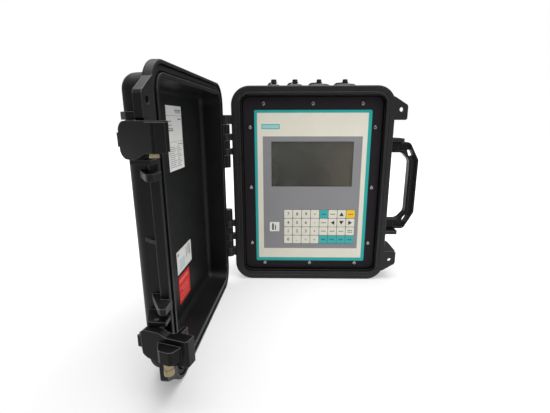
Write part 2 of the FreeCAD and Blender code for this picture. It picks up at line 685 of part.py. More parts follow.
# ====================================================== boards and battery
mb_y = dim("mb_y", 40.0)
board_t = dim("board_t", 1.6)
bz0, bz1 = dim("mb_z0c", 120.0), dim("mb_z1c", 288.0)
bx = dim("mb_x", 88.0)
so_x = dim("so_x", 83.0)
so_z = [bz0 + 6.0, bz1 - 6.0]
plate_b = box("mb_plate", -bx, bx, mb_y, mb_y + board_t, bz0, bz1)
holes = [cyl("mb_hole%d%d" % (i, j), dimo("mb_hr", 1.6), 6.0, sg * so_x, mb_y - 2, zz, "Y")
         for i, sg in enumerate((-1, 1)) for j, zz in enumerate(so_z)]
node(cut("mb", plate_b, fuse("mb_holes", holes)), "main_board", PB)
chips = [box("chip%d" % i, x0, x1, mb_y - h, mb_y - 0.02, z0, z1)
         for i, (x0, x1, h, z0, z1) in enumerate([(-20.0, 8.0, 2.6, 150.0, 178.0), (30.0, 46.0, 2.6, 210.0, 226.0),
                                                 (-60.0, -36.0, 2.6, 205.0, 222.0), (20.0, 70.0, 7.0, 268.0, 280.0),
                                                 (-70.0, -20.0, 7.0, 268.0, 280.0), (-72.0, -46.0, 9.0, 128.0, 146.0)])]
node(group("chips", chips), "board_components", PB)
sto = []
sth = []
for i, sg in enumerate((-1, 1)):
    for j, zz in enumerate(so_z):
        o = cyl("so_o%d%d" % (i, j), dimo("so_r", 3.0), base_d - wall_t - mb_y - board_t - 0.04, sg * so_x, mb_y + board_t + 0.02, zz, "Y")
        c = cyl("so_i%d%d" % (i, j), dimo("so_ir", 1.3), 12.0, sg * so_x, mb_y + board_t, zz, "Y")
        sto.append(cut("so%d%d" % (i, j), o, c))
        hh = cyl("bs_h%d%d" % (i, j), dimo("bs_hr", 2.6), 1.8, sg * so_x, mb_y - 1.85, zz, "Y")
        ss = cyl("bs_s%d%d" % (i, j), dimo("bs_sr", 1.2), 11.0, sg * so_x, mb_y - 0.3, zz, "Y")
        sth.append(fuse("bs%d%d" % (i, j), [hh, ss]))
node(group("standoffs", sto), "board_standoffs", PB)
node(group("board_screws_g", sth), "board_screws", PB)
bat_x = dim("bat_x", 76.0)
bat_z0, bat_z1 = dim("bat_z0c", 24.0), dim("bat_z1c", 94.0)
bat_y0 = dim("bat_y0c", 52.0)
bat = box("bat_solid", -bat_x, bat_x, bat_y0, base_d - wall_t - 0.1, bat_z0, bat_z1)
batf = doc.addObject("Part::Fillet", "bat_round")
batf.Base = bat
sheet.recompute()
bat.recompute()
batf.Edges = [(i + 1, 4.0, 4.0) for i, e in enumerate(bat.Shape.Edges) if e.Length > 100]
node(batf, "battery_pack", PB)
st1 = box("strap_out", -dim("strap_x", 20.0), dim("strap_xr", 20.0), bat_y0 - 1.6, base_d - wall_t - 0.1, bat_z0 - 1.6, bat_z1 + 1.6)
st2 = box("strap_in", -30.0, 30.0, bat_y0 - 0.1, base_d, bat_z0 - 0.1, bat_z1 + 0.1)
ft1 = box("strap_foot_a", -dim("foot_x", 20.0), dim("foot_xr", 20.0), base_d - wall_t - 1.7, base_d - wall_t - 0.1, bat_z1 + 1.5, bat_z1 + 12)
node(fuse("strap", [cut("strap_loop", st1, st2), ft1]), "battery_strap", PB)

# ================================================= connectors on the top wall
knurl_r = dim("knurl_r", 0.55)
flange_t = dim("con_flange_t", 2.6)
knob_r = [dim("knob_r%dc" % i, r) for i, r in enumerate((4.6, 4.4, 4.0, 4.2))]
cap_z0 = wall_top + flange_t + 0.4
cap_top = dim("cap_top", 335.4)
knob_top = dim("knob_top", 343.4)
seals, nuts, chains, chain_screws = [], [], [], []
for i in range(4):
    x = con_x[i]
    # receptacle: round flange on the wall, threaded neck above, barrel below
    c = new_body("connector_%d" % (i + 1))
    s = sketch(c, "con_fl%d" % i, "XY_Plane", wall_top)
    circle(s, x, con_y, cap_r[i] + 1.5)
    pad(c, s, flange_t)
    s = sketch(c, "con_neck%d" % i, "XY_Plane", wall_top + flange_t)
    circle(s, x, con_y, con_r[i])
    pad(c, s, dimo("neck_h", 7.0))
    s = sketch(c, "con_barrel%d" % i, "XY_Plane", wall_top)
    circle(s, x, con_y, con_r[i])
    pad(c, s, dimo("barrel_l", 26.0), rev=True)
    s = sketch(c, "con_socket%d" % i, "XY_Plane", wall_top + flange_t + 7.0)
    circle(s, x, con_y, con_r[i] - 2.0)
    pocket(c, s, dimo("socket_d", 12.0))
    node(c, "connector_%d" % (i + 1), PB)
    # screw cap with a domed top and a swivel post
    c = new_body("cap_%d" % (i + 1))
    s = sketch(c, "cap_skirt%d" % i, "XY_Plane", cap_z0)
    circle(s, x, con_y, cap_r[i])
    pad(c, s, cap_top - cap_z0)
    fillet(c, lambda e: bb(e).ZMin > cap_top.v - 0.01, dim("cap_dome%d" % i, 5.0 if i < 2 else 6.5))
    s = sketch(c, "cap_knurl%d" % i, "XY_Plane", cap_z0)
    kn = 20 if i < 2 else 30
    for k in range(kn):
        a = 2 * math.pi * k / kn
        circle(s, x + cap_r[i] * math.cos(a), con_y + cap_r[i] * math.sin(a), knurl_r)
    pocket(c, s, dimo("kn_h", 6.0), rev=True)
    s = sketch(c, "cap_bore%d" % i, "XY_Plane", cap_z0)
    circle(s, x, con_y, con_r[i] + 0.4)
    pocket(c, s, dimo("cap_bore_d", 7.4), rev=True)
    s = sketch(c, "cap_post%d" % i, "XY_Plane", cap_top - 0.5)
    circle(s, x, con_y, knob_r[i] - 0.8)
    pad(c, s, knob_top - cap_top + 0.5)
    s = sketch(c, "cap_knob%d" % i, "XY_Plane", knob_top - 4.2)
    circle(s, x, con_y, knob_r[i])
    pad(c, s, dimo("knob_h", 4.2))
    fillet(c, lambda e: bb(e).ZMin > knob_top.v - 0.01, dimo("knob_round", 1.6))
    node(c, "cap_%d" % (i + 1), PB)
    # flat seal under the flange, nut inside the wall
    o = cyl("seal_o%d" % i, cap_r[i] + 1.0, dimo("seal_t", 0.8), x, con_y, wall_top - 0.85)
    n = cyl("seal_i%d" % i, con_r[i] + 0.05, 4.0, x, con_y, wall_top - 3)
    seals.append(cut("seal%d" % i, o, n))
    pr = doc.addObject("Part::Prism", "nut_o%d" % i)
    pr.Polygon = 6
    pr.Circumradius = bind(pr, "Circumradius", con_r[i] + 4.0)
    pr.Height = bind(pr, "Height", dimo("nut_h", 4.0))
    nz = mid_z + cav_h / 2 - 4.1
    pr.Placement = FreeCAD.Placement(V(x.v, con_y.v, nz.v), FreeCAD.Rotation())
    n = cyl("nut_i%d" % i, con_r[i] + 0.05, 10.0, x, con_y, nz - 3)
    nuts.append(cut("nut%d" % i, pr, n))
    # tether: ring round the cap's post, strap over the dome, eye under a screw on the wall
    dr = 5.0 if i < 2 else 6.5
    gap = dimo("tr_gap", 1.7)
    tht = dimo("tr_t", 1.6)
    post = knob_r[i] - 0.8
    c = new_body("tether_%d" % (i + 1))
    s = sketch(c, "tr_ring%d" % i, "XY_Plane", cap_top + gap)
    circle(s, x, con_y, post + 2.0)
    pad(c, s, tht)
    arc_in, arc_out = [], []
    for deg in (75.0, 45.0, 15.0):
        ca, sa = math.cos(math.radians(deg)) / math.cos(math.radians(15.0)), math.sin(math.radians(deg)) / math.cos(math.radians(15.0))
        arc_in.append((x - cap_r[i] + dr - (gap + dr) * ca, cap_top - dr + (gap + dr) * sa))
        arc_out.append((x - cap_r[i] + dr - (gap + tht + dr) * ca, cap_top - dr + (gap + tht + dr) * sa))
    prof = [(x - post - 1.0, cap_top + gap)] + arc_in + [(x - cap_r[i] - gap, wall_top + 0.05), (x - cap_r[i] - gap - tht, wall_top + 0.05)]
    prof += arc_out[::-1] + [(x - post - 1.0, cap_top + gap + tht)]
    s = sketch(c, "tr_strap%d" % i, "XZ_Plane", con_y - 1.8)
    poly(s, prof)
    pad(c, s, dimo("tr_w", 3.6), rev=True)
    eye = cap_r[i] + dimo("tr_eye", 6.1)
    s = sketch(c, "tr_eye%d" % i, "XY_Plane", wall_top + 0.05)
    circle(s, x - eye, con_y, dimo("tr_er", 3.4))
    pad(c, s, dimo("tr_et", 1.3))
    s = sketch(c, "tr_hole%d" % i, "XY_Plane", cap_top + gap - 1)
    circle(s, x, con_y, post + 0.35)
    pocket(c, s, dimo("tr_hole_d", 4.0), rev=True)
    turn = 40.0
    c.Placement = FreeCAD.Placement(V(0, 0, 0), FreeCAD.Rotation(V(0, 0, 1), -turn), V(x.v, con_y.v, 0))
    chains.append(c)
    ct, sn = math.cos(math.radians(turn)), math.sin(math.radians(turn))
    chain_screws.append(cyl("ts_h%d" % i, dimo("ts_hr", 2.2), dimo("ts_hh", 1.6), x - eye * ct, con_y + eye * sn, wall_top + 1.4))
node(group("seals", seals), "connector_seals", PB)
node(group("nuts", nuts), "connector_nuts", PB)
node(group("tethers", chains), "cap_tethers", PB)
node(group("tether_screw_g", chain_screws), "tether_screws", PB)

# ================================================================= lid shell
l = new_body("lid_shell")
s = sketch(l, "lid_rim", "XZ_Plane", -part_gap)
rrect(s, 0, mid_z, rim_w, rim_h, rim_r)
pad(l, s, lid_rim_t - part_gap)
s = sketch(l, "lid_walls", "XZ_Plane", -lid_rim_t)
rrect(s, 0, mid_z, body_w, body_h, body_r)
pad(l, s, lid_d - lid_rim_t, taper=dim("lid_draft", -3.0))
fillet(l, lambda e: bb(e).YMax < -lid_d.v + 0.01, dim("lid_round", 13.0))
fillet(l, lambda e: bb(e).YMin > -part_gap.v - 0.01, dim("lid_rim_round", 1.6))
fillet(l, lambda e: bb(e).YMin > -lid_rim_t.v - 0.01 and bb(e).YMax < -lid_rim_t.v + 0.01 and
       (abs(e.CenterOfMass.x) > 125 or abs(e.CenterOfMass.z - 165) > 159 or
        math.hypot(e.CenterOfMass.x, e.CenterOfMass.z - 165) > 180), dim("lid_rim_back", 2.2))
# lugs
s = sketch(l, "lid_lugs", "XZ_Plane", -part_gap)
poly(s, lug)
poly(s, mirz(lug))
pad(l, s, dim("lid_lug_t", 7.6))
# cheeks that carry the latches
out_ch = pts("outch", [(116.0, -32.0), (128.0, -31.0), (143.0, -19.0), (143.0, -6.0), (131.0, -2.6), (116.0, -2.6)])
in_ch = pts("inch", [(116.0, -30.0), (142.5, -19.5), (143.2, -1.0), (131.5, -1.0), (116.0, -1.0)])
for side in (1, -1):
    lo = dim("outch_lo%d" % (side + 1), 112.3)
    hi = dim("outch_hi%d" % (side + 1), 119.0)
    s = sketch(l, "outer_cheek%d" % (side + 1), "XY_Plane", mid_z + lo if side > 0 else mid_z - hi)
    poly(s, out_ch)
    pad(l, s, hi - lo)
    lo = dim("inch_lo%d" % (side + 1), 75.0)
    hi = dim("inch_hi%d" % (side + 1), 79.2)
    s = sketch(l, "inner_cheek%d" % (side + 1), "XY_Plane", mid_z + lo if side > 0 else mid_z - hi)
    poly(s, in_ch)
    pad(l, s, hi - lo)
# handle stops: trapezoid gussets
tee = pts("tee", [(116.0, -23.5), (121.0, -22.5), (147.6, -5.0), (149.4, -2.6), (149.4, 0.6), (147.8, 2.4), (131.6, 2.4), (131.6, -0.8), (116.0, -0.8)])
for side in (1, -1):
    lo = dim("tee_lo%d" % (side + 1), 61.6 if side > 0 else 57.4)
    hi = dim("tee_hi%d" % (side + 1), 68.0 if side > 0 else 64.0)
    s = sketch(l, "stop%d" % (side + 1), "XY_Plane", mid_z + lo if side > 0 else mid_z - hi)
    poly(s, tee)
    pad(l, s, hi - lo)
# small gusset at mid height
s = sketch(l, "mid_gusset", "XY_Plane", mid_z - 1.6)
poly(s, pts("midg", [(116.0, -24.0), (120.5, -24.0), (129.0, -9.0), (116.0, -9.0)]))
pad(l, s, dim("midg_t", 3.2))
# hinge knuckles of the lid
for side in (1, -1):
    for i in (0, 2, 4):
        knuckle(l, i, side, True)
for side in (1, -1):
    s = sketch(l, "lid_pin_bore_%d" % (side + 1), "XY_Plane", mid_z + side * dim("lid_bore_mid%d" % (side + 1), 78.0))
    circle(s, hinge_x, 0, hpin_r + run_gap)
    pocket(l, s, dim("lid_bore_len%d" % (side + 1), 90.0), mid=True)
# inside
s = sketch(l, "lid_cavity", "XZ_Plane", 0)
rrect(s, 0, mid_z, lid_cav_w, lid_cav_h, dim("lid_cav_r", 16.0))
pocket(l, s, lid_cav_d, rev=True, taper=dim("lid_in_draft", -4.0))
fillet(l, lambda e: abs(bb(e).YMin + lid_cav_d.v) < 0.01 and bb(e).YLength < 0.01, dim("lid_cav_round", 7.0))
# gasket groove
lg_o = dim("lid_groove_o", 3.6)
lg_i = dim("lid_groove_i", 11.4)
s = sketch(l, "gasket_groove", "XZ_Plane", 0)
rrect(s, 0, mid_z, rim_w - 2 * lg_o, rim_h - 2 * lg_o, rim_r - lg_o)
rrect(s, 0, mid_z, rim_w - 2 * lg_i, rim_h - 2 * lg_i, rim_r - lg_i)
pocket(l, s, dim("lid_groove_d", 5.0), rev=True)
fillet(l, lambda e: bb(e).YMin > -part_gap.v - 0.05 and bb(e).XMax < 116.5 and bb(e).XMin > -116.5 and abs(e.CenterOfMass.z - 165) < 150 and (abs(bb(e).XMax - lid_cav_w.v / 2) < 0.3 or abs(bb(e).XMin + lid_cav_w.v / 2) < 0.3 or
       abs(bb(e).ZMax - 165 - lid_cav_h.v / 2) < 0.3 or abs(bb(e).ZMin - 165 + lid_cav_h.v / 2) < 0.3), dim("lid_in_round", 1.2))
# padlock holes and latch pivot bores
s = sketch(l, "lid_padlock_holes", "XZ_Plane", 1)
circle(s, lock_hx, lock_hz, lock_hr)
circle(s, lock_hx, 2 * mid_z - lock_hz, lock_hr)
pocket(l, s, dim("lid_padlock_cut", 12.0), rev=True)
for side in (1, -1):
    s = sketch(l, "latch_bore%d" % (side + 1), "XY_Plane", mid_z + side * dim("latch_bore_mid%d" % (side + 1), 97.0))
    circle(s, latch_px, latch_py, lpin_r + run_gap)
    pocket(l, s, dim("latch_bore_len%d" % (side + 1), 60.0), mid=True)
node(l, "lid_shell", PL)

# lid gasket: rounded cord in the groove
p = new_body("lid_gasket")
s = sketch(p, "gasket_ring", "XZ_Plane", dim("lg_y", -1.6))
go = dim("lg_out", 4.6)
gi = dim("lg_in", 10.2)
rrect(s, 0, mid_z, rim_w - 2 * go, rim_h - 2 * go, rim_r - go)
rrect(s, 0, mid_z, rim_w - 2 * gi, rim_h - 2 * gi, rim_r - gi)
pad(p, s, dim("lg_t", 3.3))
fillet(p, lambda e: bb(e).YMin > -1.65, dim("lg_round", 1.6))
node(p, "lid_gasket", PL)

# labels on the inside of the lid
lab_t = dim("lab_t", 0.3)
lab_y = -lid_cav_d + 0.05
node(box("label_a", dim("la_x0c", -29.0), dim("la_x1c", 22.0), lab_y, lab_y + lab_t, dim("la_z0c", 216.0), dim("la_z1c", 294.0)), "lid_label_large", PL)
node(box("label_b", dim("lb_x0c", -33.0), dim("lb_x1c", 23.0), lab_y, lab_y + lab_t, dim("lb_z0c", 81.0), dim("lb_z1c", 112.0)), "lid_label_small", PL)
node(box("label_c", dim("lc_x0c", -19.0), dim("lc_x1c", 22.5), lab_y, lab_y + lab_t, dim("lc_z0c", 39.0), dim("lc_z1c", 76.0)), "lid_label_red", PL)

# ================================================================== latches
latch_w0 = dim("latch_w0", 80.2)     # inner edge from mid height
latch_w1 = dim("latch_w1", 111.6)    # outer edge
lt_face = dim("lt_face", 150.4)      # outer face when hooked
lt_end = {"upper": dim("lt_end_up", 24.6), "lower": dim("lt_end_low", 29.0)}
lt_pts = {}
for key in lt_end:
    lt_pts[key] = [(lt_face - 7.0, dim("lt_y0_" + key, -27.0)), (lt_face - 4.6, dim("lt_y1_" + key, -27.4)), (lt_face, dim("lt_y2_" + key, -21.5)), (lt_face, lt_end[key] - 2.2),
          (lt_face - 2.2, lt_end[key]), (dim("lt_x5_" + key, 138.4), lt_end[key]), (dim("lt_x6_" + key, 138.4), dim("lt_y6_" + key, 15.8))]
lt_in = [
          (dim("lt_tooth", 128.2), dim("lt_y7c", 15.8)), (dim("lt_tooth2", 128.2), dim("lt_y8c", 13.4)), (dim("lt_x9c", 130.0), dim("lt_y9c", 11.5)),
          (dim("lt_x10c", 140.0), dim("lt_y10c", 11.5)), (lt_face - 8.4, dim("lt_y11c", 9.0)), (lt_face - 8.4, dim("lt_y12c", -6.0)),
          (dim("lt_x13c", 136.0), dim("lt_y13c", -6.4)), (dim("lt_x14c", 133.2), dim("lt_y14c", -9.4)), (dim("lt_x15c", 133.2), dim("lt_y15c", -14.6)),
          (dim("lt_x16c", 136.0), dim("lt_y16c", -17.2)), (lt_face - 8.0, dim("lt_y17c", -18.2))]
plug_r = dim("plug_r", 3.0)
for name, side in (("upper", 1), ("lower", -1)):
    up = side > 0
    c = new_body("latch_" + name)
    z0 = mid_z + latch_w0 if up else mid_z - latch_w1
    s = sketch(c, "lt_%s" % name, "XY_Plane", z0)
    poly(s, lt_pts[name] + lt_in)
    pad(c, s, latch_w1 - latch_w0)
    # finger tab at the end
    zc = mid_z + side * (latch_w0 + latch_w1) / 2
    s = sketch(c, "lt_tab_%s" % name, "XY_Plane", zc - 6.0)
    poly(s, [(lt_face - 7.0, dim("tb_y0_%s" % name, -26.6)), (lt_face - 4.2, dim("tb_y1_%s" % name, -29.4)), (lt_face - 2.8, dim("tb_y2_%s" % name, -28.6)), (lt_face - 2.8, dim("tb_y3_%s" % name, -24.0)), (lt_face - 7.0, dim("tb_y4_%s" % name, -24.0))])
    pad(c, s, dim("lt_tab_h_%s" % name, 12.0))
    # bore of the pivot boss
    s = sketch(c, "lt_bore_%s" % name, "XY_Plane", z0 - 2)
    circle(s, latch_px, latch_py, lpin_r + run_gap)
    pocket(c, s, dim("lt_bore_l_%s" % name, 40.0), rev=True)
    # side taper: the hook end is narrower than the finger end
    s = sketch(c, "lt_trim_%s" % name, "YZ_Plane", dim("lt_trim_x_%s" % name, 120.0))
    za = mid_z + side * latch_w0
    zb = mid_z + side * latch_w1
    tr_in = dim("tr_in_%s" % name, 6.2 if up else 3.4)
    poly(s, [(dim("tr_y0_%s" % name, -2.0), za - side * 1.0), (dim("tr_y1_%s" % name, 30.0), za - side * 1.0), (dim("tr_y2_%s" % name, 30.0), za + side * tr_in), (dim("tr_y3_%s" % name, 13.0 if up else 6.0), za + side * tr_in), (dim("tr_y4_%s" % name, -2.0), za + side * 0.0)])
    pocket(c, s, dim("lt_trim_d_%s" % name, 40.0), rev=True)
    s = sketch(c, "lt_trim2_%s" % name, "YZ_Plane", dim("lt_trim2_x_%s" % name, 120.0))
    poly(s, [(dim("ts_y0_%s" % name, 15.5), zb + side * 1.0), (dim("ts_y1_%s" % name, 30.0), zb + side * 1.0), (dim("ts_y2_%s" % name, 30.0), zb - side * 1.2), (dim("ts_y3_%s" % name, 15.5), zb - side * 1.2)])
    pocket(c, s, dim("lt_trim2_d_%s" % name, 40.0), rev=True)
    # rounded corners of the finger end
    cin = (9.5, 9.4, -21.8) if up else (7.0, 7.0, -23.6)
    cou = (9.8, 9.2, -21.8) if up else (15.0, 9.5, -22.8)
    for tag, edge, sg, (dy, dz, tip) in (("in", za, side, cin), ("out", zb, -side, cou)):
        s = sketch(c, "lt_cor_%s_%s" % (tag, name), "YZ_Plane", dim("lt_cor_x_%s_%s" % (tag, name), 120.0))
        cy = dim("lt_cor_y_%s_%s" % (tag, name), tip)
        arc = [(cy + dy - dy * math.sin(math.radians(a)), edge + sg * (dz - dz * math.cos(math.radians(a)))) for a in (0, 18, 36, 54, 72, 90)]
        poly(s, [(cy - 9.0, edge - sg * 2.0), (cy + dy, edge - sg * 2.0)] + arc + [(cy - 9.0, edge + sg * dz)])
        pocket(c, s, dim("lt_cor_d_%s_%s" % (tag, name), 40.0), rev=True)
    # lock: in the thickness of the upper hook, in a raised housing on the lower one
    key_x = dim("lockc_x_%s" % name, 145.6 if up else 155.8)
    key_y = dim("lockc_y_%s" % name, 18.4 if up else 11.5)
    key_r = dim("lockc_r_%s" % name, 3.8 if up else 4.4)
    zl = mid_z + latch_w0 + 6.2 if up else mid_z - latch_w1 + dim("lock_up", 8.4)
    if not up:
        s = sketch(c, "lt_house_%s" % name, "XY_Plane", zl)
        poly(s, pts("house", [(147.0, -3.0), (151.5, -2.2), (159.5, 3.5), (161.5, 7.0), (161.5, 16.0), (159.5, 19.5), (152.0, 22.2), (147.0, 22.2)]))
        pad(c, s, dim("lt_house_h", 13.5))
    s = sketch(c, "lt_lock_%s" % name, "XY_Plane", zl - 1)
    circle(s, key_x, key_y, key_r + 0.05)
    pocket(c, s, dim("lt_lock_d_%s" % name, 17.0 if up else 12.0), rev=True)
    node(c, "latch_" + name, PK[name])
    # lock barrel and turning plug
    out = 3.2 if up else 13.2
    bl = new_body("lock_barrel_" + name)
    s = sketch(bl, "bar_%s" % name, "XY_Plane", zl - dim("bar_out_%s" % name, out - 1.2))
    circle(s, key_x, key_y, key_r)
    circle(s, key_x, key_y, plug_r + run_gap)
    pad(bl, s, dim("bar_len_%s" % name, out + (13.8 if up else 8.8)))
    s = sketch(bl, "bar_col_%s" % name, "XY_Plane", zl - dim("col_out_%s" % name, out))
    circle(s, key_x, key_y, key_r + 0.35)
    circle(s, key_x, key_y, plug_r + run_gap)
    pad(bl, s, dim("col_len_%s" % name, 2.0 if up else 6.2))
    node(bl, "lock_barrel_" + name, PK[name])
    pl = new_body("lock_plug_" + name)
    s = sketch(pl, "plug_%s" % name, "XY_Plane", zl - dim("plug_out_%s" % name, out - 0.4))
    circle(s, key_x, key_y, plug_r)
    pad(pl, s, dim("plug_len_%s" % name, out + (14.0 if up else 9.8)))
    s = sketch(pl, "keyway_%s" % name, "XY_Plane", zl - dim("kw_out_%s" % name, out))
    poly(s, [(key_x - 2.0, key_y - 0.45), (key_x + 2.0, key_y - 0.45), (key_x + 2.0, key_y + 0.45), (key_x - 2.0, key_y + 0.45)])
    pocket(pl, s, dim("kw_d_%s" % name, 9.0), rev=True)
    node(pl, "lock_plug_" + name, PK[name])

# latch pivot pins
lp = []
for i, side in enumerate((1, -1)):
    z0 = mid_z + dim("lpin_lo%d" % i, 75.2) if side > 0 else mid_z - dim("lpin_hi%d" % i, 118.8)
    lp.append(cyl("lpin%d" % i, lpin_r, dim("lpin_len%d" % i, 43.6), latch_px, latch_py, z0))
node(group("latch_pin_g", lp), "latch_pins", PL)
# hinge pins
hp = []
for i, side in enumerate((1, -1)):
    z0 = mid_z + dim("hpin_lo%d" % i, 36.2) if side > 0 else mid_z - dim("hpin_hi%d" % i, 119.8)
    hp.append(cyl("hpin%d" % i, hpin_r, dim("hpin_len%d" % i, 83.6), hinge_x, 0, z0))
node(group("hinge_pin_g", hp), "hinge_pins", PB)

# =================================================================== handle
h = new_body("handle")
hy0 = dim("hdl_y0c", 20.0)
hy1 = dim("hdl_y1c", 38.0)
ho = dim("hdl_o", 76.0)
hi_ = dim("hdl_i", 58.5)
hxo = dim("hdl_xo", 183.2)
hxi = dim("hdl_xi", 168.0)
hx0 = dim("hdl_x0c", 129.0)
hca = dim("hdl_ca", 167.0)
hcz = dim("hdl_cz", 46.0)
hia = dim("hdl_ia", 155.5)
hiz = dim("hdl_iz", 45.0)
ring_o = [(hx0, mid_z - ho), (hca, mid_z - ho), (hxo, mid_z - hcz), (hxo, mid_z + hcz), (hca, mid_z + ho), (hx0, mid_z + ho)]
ring_i = [(hx0, mid_z + hi_), (hia, mid_z + hi_), (hxi, mid_z + hiz), (hxi, mid_z - hiz), (hia, mid_z - hi_), (hx0, mid_z - hi_)]
s = sketch(h, "handle_outline", "XZ_Plane", hy0)
poly(s, ring_o + ring_i)
pad(h, s, hy1 - hy0, rev=True)
# knee rounds of the outline
fillet(h, lambda e: bb(e).YLength > 15 and (abs(e.CenterOfMass.x - hxo.v) < 0.1 or abs(e.CenterOfMass.x - hca.v) < 0.1), dim("knee_o", 9.0))
fillet(h, lambda e: bb(e).YLength > 15 and (abs(e.CenterOfMass.x - hxi.v) < 0.1 or abs(e.CenterOfMass.x - hia.v) < 0.1), dim("knee_i", 12.0))
# round leg ends about the pivot
fillet(h, lambda e: bb(e).ZLength > 15 and bb(e).XMax < hx0.v + 0.1, dim("leg_round", 8.6))
# recessed channel front and back
ch = dim("chan_w", 3.6)
co = [(dim("chan_x0c", 148.0), mid_z - ho + ch), (hca - 1.2, mid_z - ho + ch), (hxo - ch, mid_z - hcz + 1.0), (hxo - ch, mid_z + hcz - 1.0), (hca - 1.2, mid_z + ho - ch), (dim("chan_x1c", 148.0), mid_z + ho - ch)]
ci = [(dim("chan_x2c", 148.0), mid_z + hi_ + ch), (hia + 1.6, mid_z + hi_ + ch), (hxi + ch, mid_z + hiz + 1.0), (hxi + ch, mid_z - hiz - 1.0), (hia + 1.6, mid_z - hi_ - ch), (dim("chan_x3c", 148.0), mid_z - hi_ - ch)]
s = sketch(h, "channel_front", "XZ_Plane", hy0 - 0.5)
poly(s, co + ci)
pocket(h, s, dim("chan_d", 4.5))
s = sketch(h, "channel_back", "XZ_Plane", hy1 + 0.5)
poly(s, co + ci)
pocket(h, s, dim("chan_d2", 4.5), rev=True)
# slots through the slanting corners
for side in (1, -1):
    corner = [(163.1, 165.0 + side * 62.6), (170.2, 165.0 + side * 63.0), (174.2, 165.0 + side * 53.0), (167.0, 165.0 + side * 51.1)]
    s = sketch(h, "slot%d" % (side + 1), "XZ_Plane", hy0 - 0.5)
    poly(s, pts("slot%d" % (side + 1), corner))
    pocket(h, s, dim("slot_d%d" % (side + 1), 20.0))
# pivot bores in the legs
s = sketch(h, "handle_bore", "XY_Plane", mid_z)
circle(s, handle_px, handle_py, hdl_r + run_gap)
pocket(h, s, dim("handle_bore_l", 170.0), mid=True)
fillet(h, lambda e: (abs(e.CenterOfMass.y - hy0.v) < 0.01 or abs(e.CenterOfMass.y - hy1.v) < 0.01) and bb(e).YLength < 0.01 and
       (abs(bb(e).XMin - hxo.v) < 0.1 or abs(bb(e).XMax - hxi.v) < 0.1), dim("grip_round", 2.0))
node(h, "handle", PB)
hpn = []
for i, side in enumerate((1, -1)):
    z0 = mid_z + dim("hdp_lo%d" % i, 60.0) if side > 0 else mid_z - dim("hdp_hi%d" % i, 83.4)
    hpn.append(cyl("hdp%d" % i, hdl_r, dim("hdp_len%d" % i, 23.4), handle_px, handle_py, z0))
node(group("handle_pin_g", hpn), "handle_pins", PB)

# ------------------------------------------------------------ check and write
doc.recompute()
bad = []
for o in doc.Objects:
    st = o.State
    if "Invalid" in st or "Error" in st:
        bad.append((o.Name, st))
for obj, label in nodes:
    sh = obj.Shape
    if sh.isNull() or not sh.isValid() or not sh.Solids:
        bad.append((label, "shape"))
if bad:
    for x in bad:
        print("BAD", x)
    raise SystemExit(1)
os.makedirs("parts", exist_ok=True)
box_all = FreeCAD.BoundBox()
for obj, label in nodes:
    obj.Shape.exportStep("parts/%s.step" % label)
    box_all.add(obj.Shape.BoundBox)
    print("%-20s solids %3d  volume %10.1f  faces %4d" % (label, len(obj.Shape.Solids), obj.Shape.Volume, len(obj.Shape.Faces)))
print("box", box_all)
print("nodes", len(nodes))
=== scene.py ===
import bpy
import bmesh
import math
from mathutils import Vector, Matrix


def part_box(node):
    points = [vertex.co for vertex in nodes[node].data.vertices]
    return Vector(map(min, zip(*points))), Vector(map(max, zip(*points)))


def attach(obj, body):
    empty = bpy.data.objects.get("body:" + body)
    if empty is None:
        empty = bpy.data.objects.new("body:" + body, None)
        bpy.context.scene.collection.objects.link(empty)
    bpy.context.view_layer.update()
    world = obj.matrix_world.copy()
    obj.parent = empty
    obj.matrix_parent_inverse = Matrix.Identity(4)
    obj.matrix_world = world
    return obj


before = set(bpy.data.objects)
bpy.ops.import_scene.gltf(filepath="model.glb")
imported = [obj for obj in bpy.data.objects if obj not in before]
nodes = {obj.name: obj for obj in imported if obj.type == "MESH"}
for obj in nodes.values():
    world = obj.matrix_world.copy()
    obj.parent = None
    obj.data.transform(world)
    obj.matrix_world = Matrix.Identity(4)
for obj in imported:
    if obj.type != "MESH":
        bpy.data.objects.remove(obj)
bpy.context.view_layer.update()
scene = bpy.context.scene
MM = 0.001


